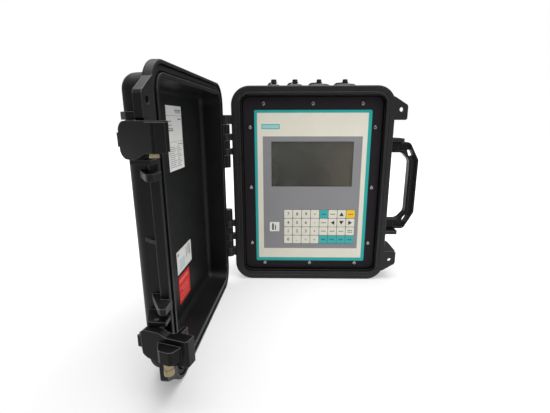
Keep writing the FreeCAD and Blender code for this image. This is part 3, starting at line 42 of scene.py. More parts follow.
# --------------------------------------------------------------- node helpers
class Tree:
    """Small helper to build a material's node tree."""

    def __init__(self, name):
        self.mat = bpy.data.materials.new(name)
        self.mat.use_nodes = True
        self.nt = self.mat.node_tree
        for n in list(self.nt.nodes):
            self.nt.nodes.remove(n)
        self.out = self.add("ShaderNodeOutputMaterial")
        self.bsdf = self.add("ShaderNodeBsdfPrincipled")
        self.link(self.bsdf.outputs[0], self.out.inputs[0])
        self.coord = self.add("ShaderNodeTexCoord")

    def add(self, kind, **kw):
        n = self.nt.nodes.new(kind)
        for k, v in kw.items():
            setattr(n, k, v)
        return n

    def link(self, a, b):
        self.nt.links.new(a, b)

    def set(self, **kw):
        for k, v in kw.items():
            self.bsdf.inputs[k.replace("_", " ")].default_value = v

    def mapping(self, scale=(1, 1, 1), rot=(0, 0, 0)):
        m = self.add("ShaderNodeMapping")
        m.inputs["Scale"].default_value = scale
        m.inputs["Rotation"].default_value = rot
        self.link(self.coord.outputs["Object"], m.inputs["Vector"])
        return m.outputs["Vector"]

    def noise(self, scale, detail=3.0, rough=0.55, vec=None):
        n = self.add("ShaderNodeTexNoise")
        n.inputs["Scale"].default_value = scale
        n.inputs["Detail"].default_value = detail
        n.inputs["Roughness"].default_value = rough
        self.link(vec if vec is not None else self.coord.outputs["Object"], n.inputs["Vector"])
        return n.outputs["Fac"]

    def voronoi(self, scale, vec=None):
        n = self.add("ShaderNodeTexVoronoi")
        n.inputs["Scale"].default_value = scale
        self.link(vec if vec is not None else self.coord.outputs["Object"], n.inputs["Vector"])
        return n.outputs["Distance"]

    def ramp(self, fac, stops):
        r = self.add("ShaderNodeValToRGB")
        el = r.color_ramp.elements
        while len(el) < len(stops):
            el.new(0.5)
        for e, (p, c) in zip(el, stops):
            e.position = p
            e.color = (c[0], c[1], c[2], 1.0)
        self.link(fac, r.inputs["Fac"])
        return r.outputs["Color"]

    def maprange(self, fac, a, b, lo, hi):
        m = self.add("ShaderNodeMapRange")
        m.inputs["From Min"].default_value = a
        m.inputs["From Max"].default_value = b
        m.inputs["To Min"].default_value = lo
        m.inputs["To Max"].default_value = hi
        self.link(fac, m.inputs["Value"])
        return m.outputs["Result"]

    def math(self, op, a, b):
        m = self.add("ShaderNodeMath", operation=op)
        for i, v in enumerate((a, b)):
            if isinstance(v, (int, float)):
                m.inputs[i].default_value = v
            else:
                self.link(v, m.inputs[i])
        return m.outputs[0]

    def bump(self, height, strength, dist, edge=0.0):
        b = self.add("ShaderNodeBump")
        if edge > 0.0:
            v = self.add("ShaderNodeBevel")
            v.samples = 6
            v.inputs["Radius"].default_value = edge
            self.link(v.outputs["Normal"], b.inputs["Normal"])
        b.inputs["Strength"].default_value = strength
        b.inputs["Distance"].default_value = dist
        self.link(height, b.inputs["Height"])
        self.link(b.outputs["Normal"], self.bsdf.inputs["Normal"])
        return b

    def edges(self, radius, sock, tint, amount):
        """Painted edge highlight: lighter colour where the rounded normal leaves the face's own, most of all on
        edges that look up towards the light.
        """
        v = self.add("ShaderNodeBevel")
        v.samples = 8
        v.inputs["Radius"].default_value = radius
        g = self.add("ShaderNodeNewGeometry")
        d = self.add("ShaderNodeVectorMath", operation="DOT_PRODUCT")
        self.link(v.outputs["Normal"], d.inputs[0])
        self.link(g.outputs["True Normal"], d.inputs[1])
        mask = self.maprange(d.outputs["Value"], 0.985, 0.80, 0.0, 1.0)
        s = self.add("ShaderNodeSeparateXYZ")
        self.link(v.outputs["Normal"], s.inputs[0])
        up = self.maprange(s.outputs["Z"], -0.1, 0.7, 0.22, 1.0)
        fac = self.math("MULTIPLY", self.math("MULTIPLY", mask, up), amount)
        m = self.add("ShaderNodeMix", data_type="RGBA")
        self.link(fac, m.inputs["Factor"])
        self.link(sock, m.inputs["A"])
        m.inputs["B"].default_value = (tint[0], tint[1], tint[2], 1.0)
        return m.outputs["Result"]

    def color(self, sock):
        self.link(sock, self.bsdf.inputs["Base Color"])

    def rough(self, sock):
        self.link(sock, self.bsdf.inputs["Roughness"])


def shade(c, k):
    return tuple(min(1.0, x * k) for x in c)


def plastic(name, col, rough=0.45, grain=1400.0, bump=0.25, dist=0.00012, spec=0.4, vary=0.25, rvary=0.08, edge=0.0, painted_side_shade=1.0):
    t = Tree(name)
    big = t.noise(22.0, 4.0)
    fine = t.noise(420.0, 2.0)
    mixf = t.math("ADD", t.math("MULTIPLY", big, 0.65), t.math("MULTIPLY", fine, 0.35))
    base = t.ramp(mixf, [(0.25, shade(col, 1.0 - vary)), (0.75, shade(col, 1.0 + vary))])
    if painted_side_shade < 1.0:
        # painted shade: the outer walls facing -Y, on the latch side, are made a shade darker in colour
        sn = t.add("ShaderNodeSeparateXYZ")
        t.link(t.coord.outputs["Normal"], sn.inputs[0])
        k = t.maprange(sn.outputs["Y"], -0.85, -0.45, painted_side_shade, 1.0)
        sc = t.add("ShaderNodeVectorMath", operation="SCALE")
        t.link(base, sc.inputs[0])
        t.link(k, sc.inputs["Scale"])
        base = sc.outputs["Vector"]
    # painted edge highlight: rounded edges get a lighter colour, most of all those that face up
    if edge > 0.0:
        base = t.edges(edge * 1.5, base, (0.16, 0.16, 0.155), 0.85)
    t.color(base)
    t.rough(t.maprange(big, 0.3, 0.7, rough - rvary, rough + rvary))
    g = t.noise(grain, 2.0, 0.6)
    t.bump(g, bump, dist, edge)
    t.set(Specular_IOR_Level=spec)
    return t.mat


def printed(name, col, rough=0.42, spec=0.35, vary=0.05):
    """Printed film: a fine even surface with faint dot grain."""
    t = Tree(name)
    big = t.noise(35.0, 3.0)
    fine = t.voronoi(2600.0)
    mixf = t.math("ADD", t.math("MULTIPLY", big, 0.7), t.math("MULTIPLY", fine, 0.45))
    t.color(t.ramp(mixf, [(0.2, shade(col, 1.0 - vary)), (0.8, shade(col, 1.0 + vary))]))
    t.rough(t.maprange(big, 0.3, 0.7, rough - 0.05, rough + 0.05))
    t.bump(fine, 0.06, 0.00004)
    t.set(Specular_IOR_Level=spec)
    return t.mat


def metal(name, col, rough=0.28, brush=(900, 60, 900), vary=0.18):
    t = Tree(name)
    v = t.mapping(scale=brush)
    n = t.noise(1.0, 4.0, 0.6, v)
    big = t.noise(90.0, 3.0)
    t.color(t.ramp(n, [(0.25, shade(col, 1.0 - vary)), (0.75, shade(col, 1.0 + vary))]))
    t.rough(t.maprange(big, 0.3, 0.7, rough - 0.08, rough + 0.1))
    t.bump(n, 0.08, 0.00003)
    t.set(Metallic=1.0)
    return t.mat


def paper(name, col):
    t = Tree(name)
    fib = t.noise(900.0, 5.0, 0.7)
    big = t.noise(30.0, 3.0)
    mixf = t.math("ADD", t.math("MULTIPLY", fib, 0.5), t.math("MULTIPLY", big, 0.5))
    t.color(t.ramp(mixf, [(0.25, shade(col, 0.93)), (0.75, shade(col, 1.04))]))
    t.rough(t.maprange(big, 0.3, 0.7, 0.5, 0.66))
    t.bump(fib, 0.1, 0.00004)
    t.set(Specular_IOR_Level=0.3)
    return t.mat


def set_mat(node, mat):
    o = nodes[node]
    if len(o.data.materials) == 0:
        o.data.materials.append(mat)
    for s in o.material_slots:
        s.material = mat


# ------------------------------------------------------------------ materials
CASE = (0.0085, 0.0085, 0.0092)
# The case parts share one black plastic (CASE), scaled into lit and shaded copies: the base is lightened as painted
# light, while the lid, latches, handle and the panel frame in the recess are darkened as painted shade, standing in
# for how the light falls on each
m_case = plastic("case_plastic", shade(CASE, 1.2), rough=0.42, grain=1100.0, bump=0.35, dist=0.00016, spec=0.30, vary=0.22, edge=0.0009)
m_case_lid = plastic("lid_plastic", shade(CASE, 0.85), rough=0.44, grain=1100.0, bump=0.35, dist=0.00016, spec=0.22, vary=0.22, edge=0.0009, painted_side_shade=0.3)
m_latch = plastic("latch_plastic", shade(CASE, 0.42), rough=0.38, grain=1500.0, bump=0.2, dist=0.0001, spec=0.14, edge=0.0009)
m_handle = plastic("handle_plastic", shade(CASE, 0.48), rough=0.40, grain=1300.0, bump=0.3, dist=0.00014, spec=0.20, edge=0.0009)
m_frame = plastic("frame_plastic", shade(CASE, 0.35), rough=0.46, grain=1400.0, bump=0.2, spec=0.14, edge=0.0006)
m_cap = plastic("cap_plastic", shade(CASE, 1.2), rough=0.45, grain=1500.0, bump=0.2, spec=0.35, edge=0.0005)
m_tether = plastic("tether_plastic", shade(CASE, 1.1), rough=0.5, grain=1500.0, bump=0.15, spec=0.3, edge=0.0003)
m_rubber = plastic("seal_rubber", (0.007, 0.007, 0.007), rough=0.6, grain=900.0, bump=0.2, spec=0.2)
m_panel = plastic("panel_coat", (0.0125, 0.0098, 0.0125), rough=0.5, grain=1800.0, bump=0.35, dist=0.0001, spec=0.18, vary=0.15)
m_teal = printed("film_teal", (0.012, 0.375, 0.36))
m_cream = printed("film_cream", (0.74, 0.715, 0.61))
m_grey = printed("film_grey", (0.245, 0.245, 0.258))
m_gap = printed("film_gap", (0.13, 0.13, 0.13))
m_pale_teal = printed("film_pale_teal", (0.32, 0.62, 0.60))
m_key = printed("key_cream", (0.72, 0.70, 0.60), rough=0.38)
m_key_teal = printed("key_teal", (0.035, 0.40, 0.40), rough=0.38)
m_key_yellow = printed("key_yellow", (0.86, 0.52, 0.018), rough=0.38)
m_ink = printed("film_ink", (0.02, 0.019, 0.018), rough=0.4)
m_ink_soft = printed("film_ink_soft", (0.085, 0.08, 0.07), rough=0.45)
m_ink_teal = printed("film_ink_teal", (0.006, 0.15, 0.16), rough=0.45)
m_white = printed("sticker_white", (0.80, 0.80, 0.77))
m_steel = metal("screw_steel", (0.30, 0.29, 0.28), rough=0.15, brush=(700, 700, 700))
m_pin = metal("pin_steel", (0.50, 0.50, 0.49), rough=0.33, brush=(700, 700, 60))
m_tin = metal("module_steel", (0.55, 0.55, 0.54), rough=0.38)
m_brass = metal("lock_metal", (0.30, 0.25, 0.15), rough=0.36, brush=(600, 600, 120))
m_plug = metal("plug_metal", (0.36, 0.33, 0.25), rough=0.34, brush=(600, 600, 120))
m_alu = metal("socket_metal", (0.52, 0.52, 0.52), rough=0.34)
m_paper = paper("label_paper", (0.76, 0.76, 0.74))
m_paper2 = paper("label_paper_small", (0.72, 0.72, 0.70))
m_red = paper("label_red", (0.62, 0.022, 0.022))
m_red_pale = paper("label_red_pale", (0.80, 0.13, 0.10))
m_pale_blue = paper("label_pale_blue", (0.52, 0.60, 0.62))
m_line = printed("label_line", (0.30, 0.29, 0.28), rough=0.55)
m_film = printed("switch_film", (0.45, 0.33, 0.12))
m_pcb = plastic("board_green", (0.012, 0.075, 0.03), rough=0.3, grain=600.0, bump=0.1, spec=0.5)
m_chip = plastic("chip_black", (0.014, 0.014, 0.014), rough=0.5, grain=1500.0, bump=0.15)
m_batt = plastic("battery_sleeve", (0.012, 0.022, 0.075), rough=0.3, grain=300.0, bump=0.12, spec=0.5)

# display: dark olive glass with a faint lighter cloud towards one side
t = Tree("display_glass")
cl = t.noise(14.0, 3.0)
sep = t.add("ShaderNodeSeparateXYZ")
t.link(t.coord.outputs["Object"], sep.inputs[0])
gx = t.maprange(sep.outputs["X"], -0.07, 0.07, 0.0, 1.0)
mixf = t.math("ADD", t.math("MULTIPLY", gx, 0.6), t.math("MULTIPLY", cl, 0.4))
t.color(t.ramp(mixf, [(0.15, (0.010, 0.008, 0.002)), (0.50, (0.022, 0.018, 0.005)), (0.95, (0.135, 0.115, 0.062))]))
line = t.add("ShaderNodeTexWave")
line.inputs["Scale"].default_value = 900.0
t.link(t.coord.outputs["Object"], line.inputs["Vector"])
t.rough(t.maprange(cl, 0.3, 0.7, 0.22, 0.32))
t.bump(line.outputs["Fac"], 0.02, 0.00002)
t.set(Specular_IOR_Level=0.3)
m_lcd = t.mat

# clear window
t = Tree("window_clear")
sm = t.noise(60.0, 3.0)
t.color(t.ramp(sm, [(0.3, (0.90, 0.91, 0.88)), (0.7, (0.95, 0.95, 0.93))]))
t.rough(t.maprange(sm, 0.3, 0.7, 0.06, 0.12))
t.set(Transmission_Weight=1.0, IOR=1.33, Specular_IOR_Level=0.22)
m_window = t.mat

for n in ("base_shell",):
    set_mat(n, m_case)
set_mat("lid_shell", m_case_lid)
for n in ("latch_upper", "latch_lower"):
    set_mat(n, m_latch)
set_mat("handle", m_handle)
set_mat("panel_frame", m_frame)
set_mat("panel_plate", m_panel)
for n in ("cap_1", "cap_2", "cap_3", "cap_4"):
    set_mat(n, m_cap)
set_mat("cap_tethers", m_tether)
for n in ("panel_gasket", "lid_gasket", "connector_seals"):
    set_mat(n, m_rubber)
for n in ("panel_screws", "frame_screws", "board_screws", "tether_screws"):
    set_mat(n, m_steel)
for n in ("hinge_pins", "latch_pins", "handle_pins"):
    set_mat(n, m_pin)
for n in ("lcd_module", "battery_strap", "board_standoffs", "connector_nuts"):
    set_mat(n, m_tin)
for n in ("connector_1", "connector_2", "connector_3", "connector_4"):
    set_mat(n, m_alu)
for n in ("lock_barrel_upper", "lock_barrel_lower", "panel_inserts"):
    set_mat(n, m_brass)
for n in ("lock_plug_upper", "lock_plug_lower"):
    set_mat(n, m_plug)
set_mat("keypad_overlay", m_teal)
set_mat("switch_layer", m_film)
set_mat("display_window", m_window)
set_mat("lcd_glass", m_lcd)
set_mat("main_board", m_pcb)
set_mat("board_components", m_chip)
set_mat("battery_pack", m_batt)
set_mat("lid_label_large", m_paper)
set_mat("lid_label_small", m_paper2)
set_mat("lid_label_red", m_red)


# ------------------------------------------------------------ piece builders
def mesh_obj(name, me, mat, body):
    o = bpy.data.objects.new(name, me)
    scene.collection.objects.link(o)
    if mat is not None:
        me.materials.clear()
        me.materials.append(mat)
    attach(o, body)
    return o


def outline(x0, x1, z0, z1, r, seg=5):
    if r <= 0:
        return [(x0, z0), (x1, z0), (x1, z1), (x0, z1)]
    pts = []
    for cx, cz, a0 in ((x1 - r, z0 + r, -90), (x1 - r, z1 - r, 0), (x0 + r, z1 - r, 90), (x0 + r, z0 + r, 180)):
        for i in range(seg + 1):
            a = math.radians(a0 + 90.0 * i / seg)
            pts.append((cx + r * math.cos(a), cz + r * math.sin(a)))
    return pts


def flat_mesh(name, loops, y_front, thick):
    """A thin plate in the panel's plane from closed outlines (holes included).
    loops in mm (X, Z); y_front is the face towards the viewer, in mm."""
    cu = bpy.data.curves.new(name + "_c", "CURVE")
    cu.dimensions = "2D"
    cu.fill_mode = "BOTH"
    cu.extrude = thick * MM / 2
    for lp in loops:
        sp = cu.splines.new("POLY")
        sp.points.add(len(lp) - 1)
        for p, (x, z) in zip(sp.points, lp):
            p.co = (x * MM, z * MM, 0, 1)
        sp.use_cyclic_u = True
    tmp = bpy.data.objects.new(name + "_t", cu)
    me = bpy.data.meshes.new_from_object(tmp)
    bpy.data.objects.remove(tmp)
    bpy.data.curves.remove(cu)
    # curve plane (x, y, 0) to panel plane (x, y_front + thick / 2, z)
    for v in me.vertices:
        x, y, z = v.co
        v.co = (x, (y_front + thick / 2) * MM - z, y)
    me.name = name
    fix_normals(me)
    return me


def fix_normals(me):
    bm = bmesh.new()
    bm.from_mesh(me)
    bmesh.ops.remove_doubles(bm, verts=bm.verts, dist=1e-7)
    bmesh.ops.recalc_face_normals(bm, faces=bm.faces)
    bm.to_mesh(me)
    bm.free()


def join_meshes(name, meshes):
    bm = bmesh.new()
    for m in meshes:
        bm.from_mesh(m)
        bpy.data.meshes.remove(m)
    me = bpy.data.meshes.new(name)
    bm.to_mesh(me)
    bm.free()
    return me


def pillow(x0, x1, z0, z1, r, y_back, rise, edge=0.9):
    """A key's face: rounded square, gently domed at its edge."""
    bm = bmesh.new()
    rings = [(0.0, 0.0), (0.0, 0.55), (edge * 0.35, 0.85), (edge, 1.0)]
    loops = []
    for inset, h in rings:
        pts = outline(x0 + inset, x1 - inset, z0 + inset, z1 - inset, max(r - inset * 0.4, 0.3), 4)
        loops.append([bm.verts.new((x * MM, (y_back - rise * h) * MM, z * MM)) for x, z in pts])
    n = len(loops[0])
    for a, b in zip(loops[:-1], loops[1:]):
        for i in range(n):
            j = (i + 1) % n
            bm.faces.new((a[i], a[j], b[j], b[i]))
    bm.faces.new(loops[-1])
    bm.faces.new(list(reversed(loops[0])))
    bmesh.ops.recalc_face_normals(bm, faces=bm.faces)
    me = bpy.data.meshes.new("key")
    bm.to_mesh(me)
    bm.free()
    return me


def text_mesh(txt, size, cx, cz, y_front, thick):
    cu = bpy.data.curves.new("txt", "FONT")
    cu.body = txt
    cu.size = size * MM
    cu.align_x = "CENTER"
    cu.align_y = "CENTER"
    cu.extrude = thick * MM / 2
    cu.offset = size * 0.022 * MM
    tmp = bpy.data.objects.new("txt", cu)
    me = bpy.data.meshes.new_from_object(tmp)
    bpy.data.objects.remove(tmp)
    bpy.data.curves.remove(cu)
    for v in me.vertices:
        x, y, z = v.co
        v.co = (x + cx * MM, (y_front + thick / 2) * MM - z, y + cz * MM)
    fix_normals(me)
    return me


# ---------------------------------------------------------------- front panel
YO = -5.5                          # parting plane
y_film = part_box("keypad_overlay")[0][1] / MM
LCD = (-66.6, 69.4, 167.4, 242.0)
hole = outline(*LCD, 0.0)

me = flat_mesh("film_cream_field", [outline(-90.2, 92.0, 37.0, 288.6, 1.0), list(hole)], y_film - 0.05, 0.05)
mesh_obj("film_cream_field", me, m_cream, "base")
me = flat_mesh("film_grey_field", [outline(-81.2, 84.2, 54.7, 250.9, 0.6), list(hole)], y_film - 0.10, 0.05)
mesh_obj("film_grey_field", me, m_grey, "base")
# dark bezel line round the window
me = flat_mesh("window_edge", [outline(LCD[0] - 0.7, LCD[1] + 0.7, LCD[2] - 0.7, LCD[3] + 0.7, 0.5), outline(LCD[0] + 0.1, LCD[1] - 0.1, LCD[2] + 0.1, LCD[3] - 0.1, 0.0)], y_film - 0.14, 0.05)
mesh_obj("window_edge", me, m_ink_soft, "base")

# plain bar in the top corner: darker teal frame, lighter middle
me = flat_mesh("corner_bar", [outline(-83.0, -53.0, 262.6, 270.8, 0.5)], y_film - 0.10, 0.05)
mesh_obj("corner_bar", me, m_key_teal, "base")
me = flat_mesh("corner_bar_middle", [outline(-81.7, -54.3, 263.9, 269.5, 0.4)], y_film - 0.12, 0.03)
mesh_obj("corner_bar_middle", me, m_pale_teal, "base")

# keys
KX0, KZ0, PX, PZ = -45.8, 63.4, 15.5, 15.55
GAP = 0.95
kx1 = KX0 + 8 * PX
kz1 = KZ0 + 4 * PZ
me = flat_mesh("key_gaps", [outline(KX0 - 0.4, kx1 - 0.2, KZ0 - 0.4, kz1 + 0.1, 0.8)], y_film - 0.14, 0.04)
mesh_obj("key_gaps", me, m_gap, "base")
y_key = y_film - 0.14
RISE = 0.42
teal_keys = {(4, 0), (4, 3), (5, 3), (6, 3), (7, 3)}
yellow_keys = {(7, 0)}
sets = {"cream": [], "teal": [], "yellow": []}
for row in range(4):
    for col in range(8):
        x0 = KX0 + col * PX
        z1 = kz1 - row * PZ
        m = pillow(x0 + GAP / 2, x0 + PX - GAP / 2, z1 - PZ + GAP / 2, z1 - GAP / 2, 1.1, y_key, RISE)
        which = "teal" if (col, row) in teal_keys else "yellow" if (col, row) in yellow_keys else "cream"
        sets[which].append(m)
for which, mt in (("cream", m_key), ("teal", m_key_teal), ("yellow", m_key_yellow)):
    mesh_obj("keys_" + which, join_meshes("keys_" + which, sets[which]), mt, "base")

# legends: plain digits, arrows and simple marks
y_leg = y_key - RISE
digits = {(0, 0): "7", (1, 0): "8", (2, 0): "9", (0, 1): "4", (1, 1): "5", (2, 1): "6", (0, 2): "1", (1, 2): "2", (2, 2): "3", (0, 3): "0", (1, 3): "."}


def key_c(col, row):
    return KX0 + (col + 0.5) * PX, kz1 - (row + 0.5) * PZ


leg = []
for (c, r), s in digits.items():
    x, z = key_c(c, r)
    leg.append(text_mesh(s, 7.6, x, z, y_leg - 0.03, 0.06))
mesh_obj("key_digits", join_meshes("key_digits", leg), m_ink_soft, "base")

arr = []
for (c, r), d in {(6, 0): (0, 1), (5, 1): (-1, 0), (6, 1): (0, -1), (7, 1): (1, 0)}.items():
    x, z = key_c(c, r)
    px, pz = -d[1], d[0]
    h, w = 3.4, 4.0
    tri = [(x + d[0] * h, z + d[1] * h), (x - d[0] * h + px * w, z - d[1] * h + pz * w), (x - d[0] * h - px * w, z - d[1] * h - pz * w)]
    arr.append(flat_mesh("tri", [tri], y_leg - 0.03, 0.06))
mesh_obj("key_arrows", join_meshes("key_arrows", arr), m_ink, "base")

marks = []
# plain short bars on the function keys, signs on the fourth column
for (c, r), kind in {(3, 0): "plus", (3, 1): "minus", (3, 2): "times", (3, 3): "divide", (2, 3): "equal"}.items():
    x, z = key_c(c, r)
    if kind in ("plus",):
        marks.append(flat_mesh("m", [[(x - 0.35, z - 1.8), (x + 0.35, z - 1.8), (x + 0.35, z - 0.35), (x + 1.8, z - 0.35), (x + 1.8, z + 0.35), (x + 0.35, z + 0.35), (x + 0.35, z + 1.8), (x - 0.35, z + 1.8), (x - 0.35, z + 0.35), (x - 1.8, z + 0.35), (x - 1.8, z - 0.35), (x - 0.35, z - 0.35)]], y_leg - 0.03, 0.06))
    elif kind == "minus":
        marks.append(flat_mesh("m", [outline(x - 1.8, x + 1.8, z - 0.35, z + 0.35, 0)], y_leg - 0.03, 0.06))
    elif kind == "times":
        a = math.radians(45)
        cr = [(-0.35, -1.8), (0.35, -1.8), (0.35, -0.35), (1.8, -0.35), (1.8, 0.35), (0.35, 0.35), (0.35, 1.8), (-0.35, 1.8), (-0.35, 0.35), (-1.8, 0.35), (-1.8, -0.35), (-0.35, -0.35)]
        marks.append(flat_mesh("m", [[(x + u * math.cos(a) - v * math.sin(a), z + u * math.sin(a) + v * math.cos(a)) for u, v in cr]], y_leg - 0.03, 0.06))
    elif kind == "divide":
        marks.append(flat_mesh("m", [outline(x - 1.8, x + 1.8, z - 0.3, z + 0.3, 0), outline(x - 0.4, x + 0.4, z + 1.0, z + 1.8, 0.3), outline(x - 0.4, x + 0.4, z - 1.8, z - 1.0, 0.3)], y_leg - 0.03, 0.06))
    elif kind == "equal":
        marks.append(flat_mesh("m", [outline(x - 1.7, x + 1.7, z + 0.45, z + 1.05, 0), outline(x - 1.7, x + 1.7, z - 1.05, z - 0.45, 0)], y_leg - 0.03, 0.06))
mesh_obj("key_signs", join_meshes("key_signs", marks), m_ink_soft, "base")

# short plain bars where the function keys are marked
bars, bars_teal = [], []
for c, r, rows in ((5, 0, 1), (4, 1, 1), (4, 2, 1), (5, 2, 1), (6, 2, 1), (7, 2, 2), (7, 0, 1)):
    x, z = key_c(c, r)
    for k in range(rows):
        zz = z + (rows - 1) * 1.7 - k * 3.4
        for j, (u0, u1) in enumerate(((-4.0, -1.6), (-1.0, 1.2), (1.8, 4.0))):
            bars.append(flat_mesh("b", [outline(x + u0, x + u1, zz - 0.75, zz + 0.75, 0.2)], y_leg - 0.03, 0.06))
mesh_obj("key_bars", join_meshes("key_bars", bars), m_ink_soft, "base")
for c, r in ((4, 0), (4, 3), (5, 3), (6, 3), (7, 3)):
    x, z = key_c(c, r)
    for u0, u1 in ((-3.4, -0.6), (0.4, 3.4)):
        bars_teal.append(flat_mesh("b", [outline(x + u0, x + u1, z - 1.2, z + 1.2, 0.3)], y_leg - 0.03, 0.06))
mesh_obj("key_bars_teal", join_meshes("key_bars_teal", bars_teal), m_ink_teal, "base")

# small plain sticker beside the keys
me = flat_mesh("plain_sticker", [outline(-70.5, -53.6, 86.2, 103.2, 0.6)], y_film - 0.22, 0.12)
mesh_obj("plain_sticker", me, m_white, "base")

# two plain marks on the sticker
sm = [flat_mesh("b", [outline(-66.6, -63.4, 88.6, 100.8, 1.2)], y_film - 0.26, 0.04), flat_mesh("b", [outline(-61.6, -59.8, 88.6, 98.0, 0.5)], y_film - 0.26, 0.04)]
mesh_obj("sticker_marks", join_meshes("sticker_marks", sm), m_ink_soft, "base")


# ------------------------------------------- plain lines on the lid's labels
def lid_world(xl, y, z):
    a = math.radians(-93.18)
    dx = xl + 141.0
    return Vector((-141.0 + dx * math.cos(a) - y * math.sin(a), dx * math.sin(a) + y * math.cos(a) + YO, z)) * MM


def label_marks(name, lab, rects, mat, y=-32.63):
    """Flat shapes on a label; u runs from the lid's free edge to its hinge, v from top to bottom."""
    xa, xb, z0, z1 = lab
    bm = bmesh.new()
    for u0, u1, v0, v1 in rects:
        x0, x1 = xb + (xa - xb) * u0, xb + (xa - xb) * u1
        za, zb = z1 - (z1 - z0) * v0, z1 - (z1 - z0) * v1
        vs = []
        for yy in (y, y + 0.05):
            vs.append([bm.verts.new(lid_world(xx, yy, zz)) for xx, zz in ((x0, za), (x1, za), (x1, zb), (x0, zb))])
        lo, hi = vs
        bm.faces.new(lo)
        bm.faces.new(hi[::-1])
        for i in range(4):
            j = (i + 1) % 4
            bm.faces.new((lo[j], lo[i], hi[i], hi[j]))
    bmesh.ops.recalc_face_normals(bm, faces=bm.faces)
    me = bpy.data.meshes.new(name)
    bm.to_mesh(me)
    bm.free()
    mesh_obj(name, me, mat, "lid")


big = (-29.0, 22.0, 216.0, 294.0)
lines = [(0.55, 0.94, 0.055, 0.085), (0.60, 0.94, 0.095, 0.110), (0.0, 1.0, 0.148, 0.154), (0.72, 0.94, 0.190, 0.215), (0.05, 0.28, 0.225, 0.245), (0.05, 0.30, 0.285, 0.300), (0.05, 0.38, 0.335, 0.350), (0.05, 0.38, 0.360, 0.385), (0.0, 1.0, 0.545, 0.551), (0.62, 0.96, 0.585, 0.600)]
for k in range(11):
    v = 0.625 + 0.031 * k
    lines.append((0.05, 0.40 + 0.06 * ((k * 5) % 3), v, v + 0.011))
    lines.append((0.55, 0.72 + 0.07 * ((k * 7) % 3), v, v + 0.011))
label_marks("label_large_lines", big, lines, m_line)
small = (-33.0, 23.0, 81.0, 112.0)
label_marks("label_small_lines", small, [(0.62, 0.66, 0.12, 0.62), (0.72, 0.75, 0.08, 0.55), (0.78, 0.81, 0.08, 0.50), (0.84, 0.90, 0.08, 0.60), (0.04, 0.14, 0.10, 0.22)], m_line)
label_marks("label_small_field", small, [(0.16, 0.50, 0.42, 0.90)], m_pale_blue)
red = (-19.0, 22.5, 39.0, 76.0)
label_marks("label_red_bands", red, [(0.06, 0.86, 0.10, 0.22), (0.06, 0.86, 0.42, 0.47), (0.30, 0.86, 0.54, 0.60), (0.06, 0.86, 0.68, 0.73), (0.06, 0.86, 0.82, 0.87)], m_red_pale)

# ---------------------------------------------------------------------- stage
fl = bpy.data.meshes.new("floor")
bm = bmesh.new()
bmesh.ops.create_grid(bm, x_segments=2, y_segments=2, size=6.0)
bm.to_mesh(fl)
bm.free()
floor = bpy.data.objects.new("floor", fl)
scene.collection.objects.link(floor)
t = Tree("floor_pale")
fn = t.noise(3.0, 2.0)
t.color(t.ramp(fn, [(0.3, (0.50, 0.50, 0.50)), (0.7, (0.53, 0.53, 0.53))]))
t.set(Roughness=0.9, Specular_IOR_Level=0.1, Emission_Color=(1.0, 1.0, 1.0, 1.0))
fs = t.add("ShaderNodeSeparateXYZ")
t.link(t.coord.outputs["Object"], fs.inputs[0])
# the floor brightens towards the back, as under a lit sweep
back = t.maprange(fs.outputs["Y"], -0.45, 1.0, 0.14, 0.97)
# and far away on every side, so that no horizon shows
fd = t.add("ShaderNodeVectorMath", operation="LENGTH")
t.link(t.coord.outputs["Object"], fd.inputs[0])
far = t.maprange(fd.outputs["Value"], 0.9, 2.4, 0.10, 0.97)
t.link(t.math("MAXIMUM", back, far), t.bsdf.inputs["Emission Strength"])
fl.materials.append(t.mat)

w = bpy.data.worlds.new("studio")
scene.world = w
w.use_nodes = True
bg = w.node_tree.nodes.get("Background")
bg.inputs["Strength"].default_value = 1.0
wt = w.node_tree
wc = wt.nodes.new("ShaderNodeTexCoord")
ws = wt.nodes.new("ShaderNodeSeparateXYZ")
wt.links.new(wc.outputs["Generated"], ws.inputs[0])
wr = wt.nodes.new("ShaderNodeValToRGB")
wm = wt.nodes.new("ShaderNodeMapRange")
wm.inputs["From Min"].default_value = -1.0
wm.inputs["From Max"].default_value = 1.0
wt.links.new(ws.outputs["Z"], wm.inputs["Value"])
wt.links.new(wm.outputs["Result"], wr.inputs["Fac"])
for el, (pos, v) in zip([wr.color_ramp.elements[0], wr.color_ramp.elements.new(0.55), wr.color_ramp.elements[-1]], ((0.0, 0.08), (0.55, 0.15), (1.0, 0.90))):
    el.position = pos
    el.color = (v, v, v, 1.0)
wt.links.new(wr.outputs["Color"], bg.inputs["Color"])
wb = wt.nodes.new("ShaderNodeBackground")
wb.inputs["Color"].default_value = (1.0, 1.0, 1.0, 1.0)
wb.inputs["Strength"].default_value = 1.0
wl = wt.nodes.new("ShaderNodeLightPath")
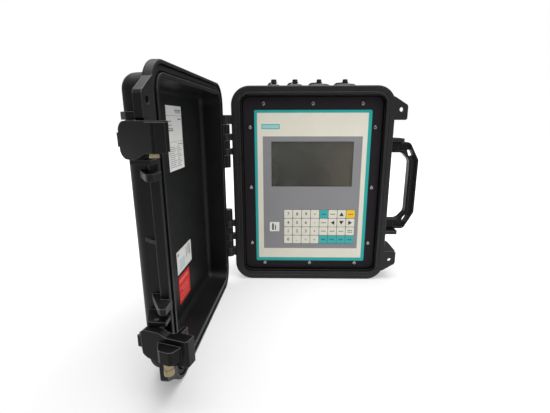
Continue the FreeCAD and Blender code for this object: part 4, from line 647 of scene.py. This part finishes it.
wx = wt.nodes.new("ShaderNodeMixShader")
wt.links.new(wl.outputs["Is Camera Ray"], wx.inputs["Fac"])
wt.links.new(bg.outputs[0], wx.inputs[1])
wt.links.new(wb.outputs[0], wx.inputs[2])
wt.links.new(wx.outputs[0], wt.nodes.get("World Output").inputs["Surface"])


def area(name, loc, target, size, power, size_y=None):
    d = bpy.data.lights.new(name, "AREA")
    d.energy = power
    d.shape = "RECTANGLE"
    d.size = size
    d.size_y = size_y if size_y else size
    o = bpy.data.objects.new(name, d)
    scene.collection.objects.link(o)
    o.location = loc
    v = Vector(target) - Vector(loc)
    o.rotation_euler = v.to_track_quat("-Z", "Y").to_euler()
    return o


area("top_soft", (-0.05, 0.05, 1.7), (-0.05, 0.0, 0.15), 1.7, 34.0)
area("front_top", (0.22, -0.70, 1.20), (0.04, 0.0, 0.12), 0.7, 4.9)
area("right_fill", (1.5, -0.8, 0.9), (0.05, 0.0, 0.17), 0.9, 2.0)

# --------------------------------------------------------------------- camera
cam = bpy.data.cameras.new("camera")
cam.sensor_fit = "HORIZONTAL"
cam.sensor_width = 36.0
cam.lens = 346.47 / 550.0 * 36.0
cam.shift_x = -(278.21 - 275.0) / 550.0
cam.shift_y = (208.56 - 206.5) / 550.0
cam.clip_start = 0.01
cam.clip_end = 50.0
co = bpy.data.objects.new("camera", cam)
scene.collection.objects.link(co)
yaw, pitch, roll = math.radians(-1.01), math.radians(14.28), math.radians(-0.08)
fwd = Vector((math.sin(yaw) * math.cos(pitch), math.cos(yaw) * math.cos(pitch), -math.sin(pitch)))
right = Vector((math.cos(yaw), -math.sin(yaw), 0.0))
up = right.cross(fwd)
r2 = right * math.cos(roll) + up * math.sin(roll)
u2 = up * math.cos(roll) - right * math.sin(roll)
mat = Matrix((r2, u2, -fwd)).transposed().to_4x4()
mat.translation = Vector((-45.35, -574.40 + YO, 276.61)) * MM
co.matrix_world = mat
scene.camera = co
scene.view_settings.view_transform = "Standard"
scene.view_settings.look = "None"
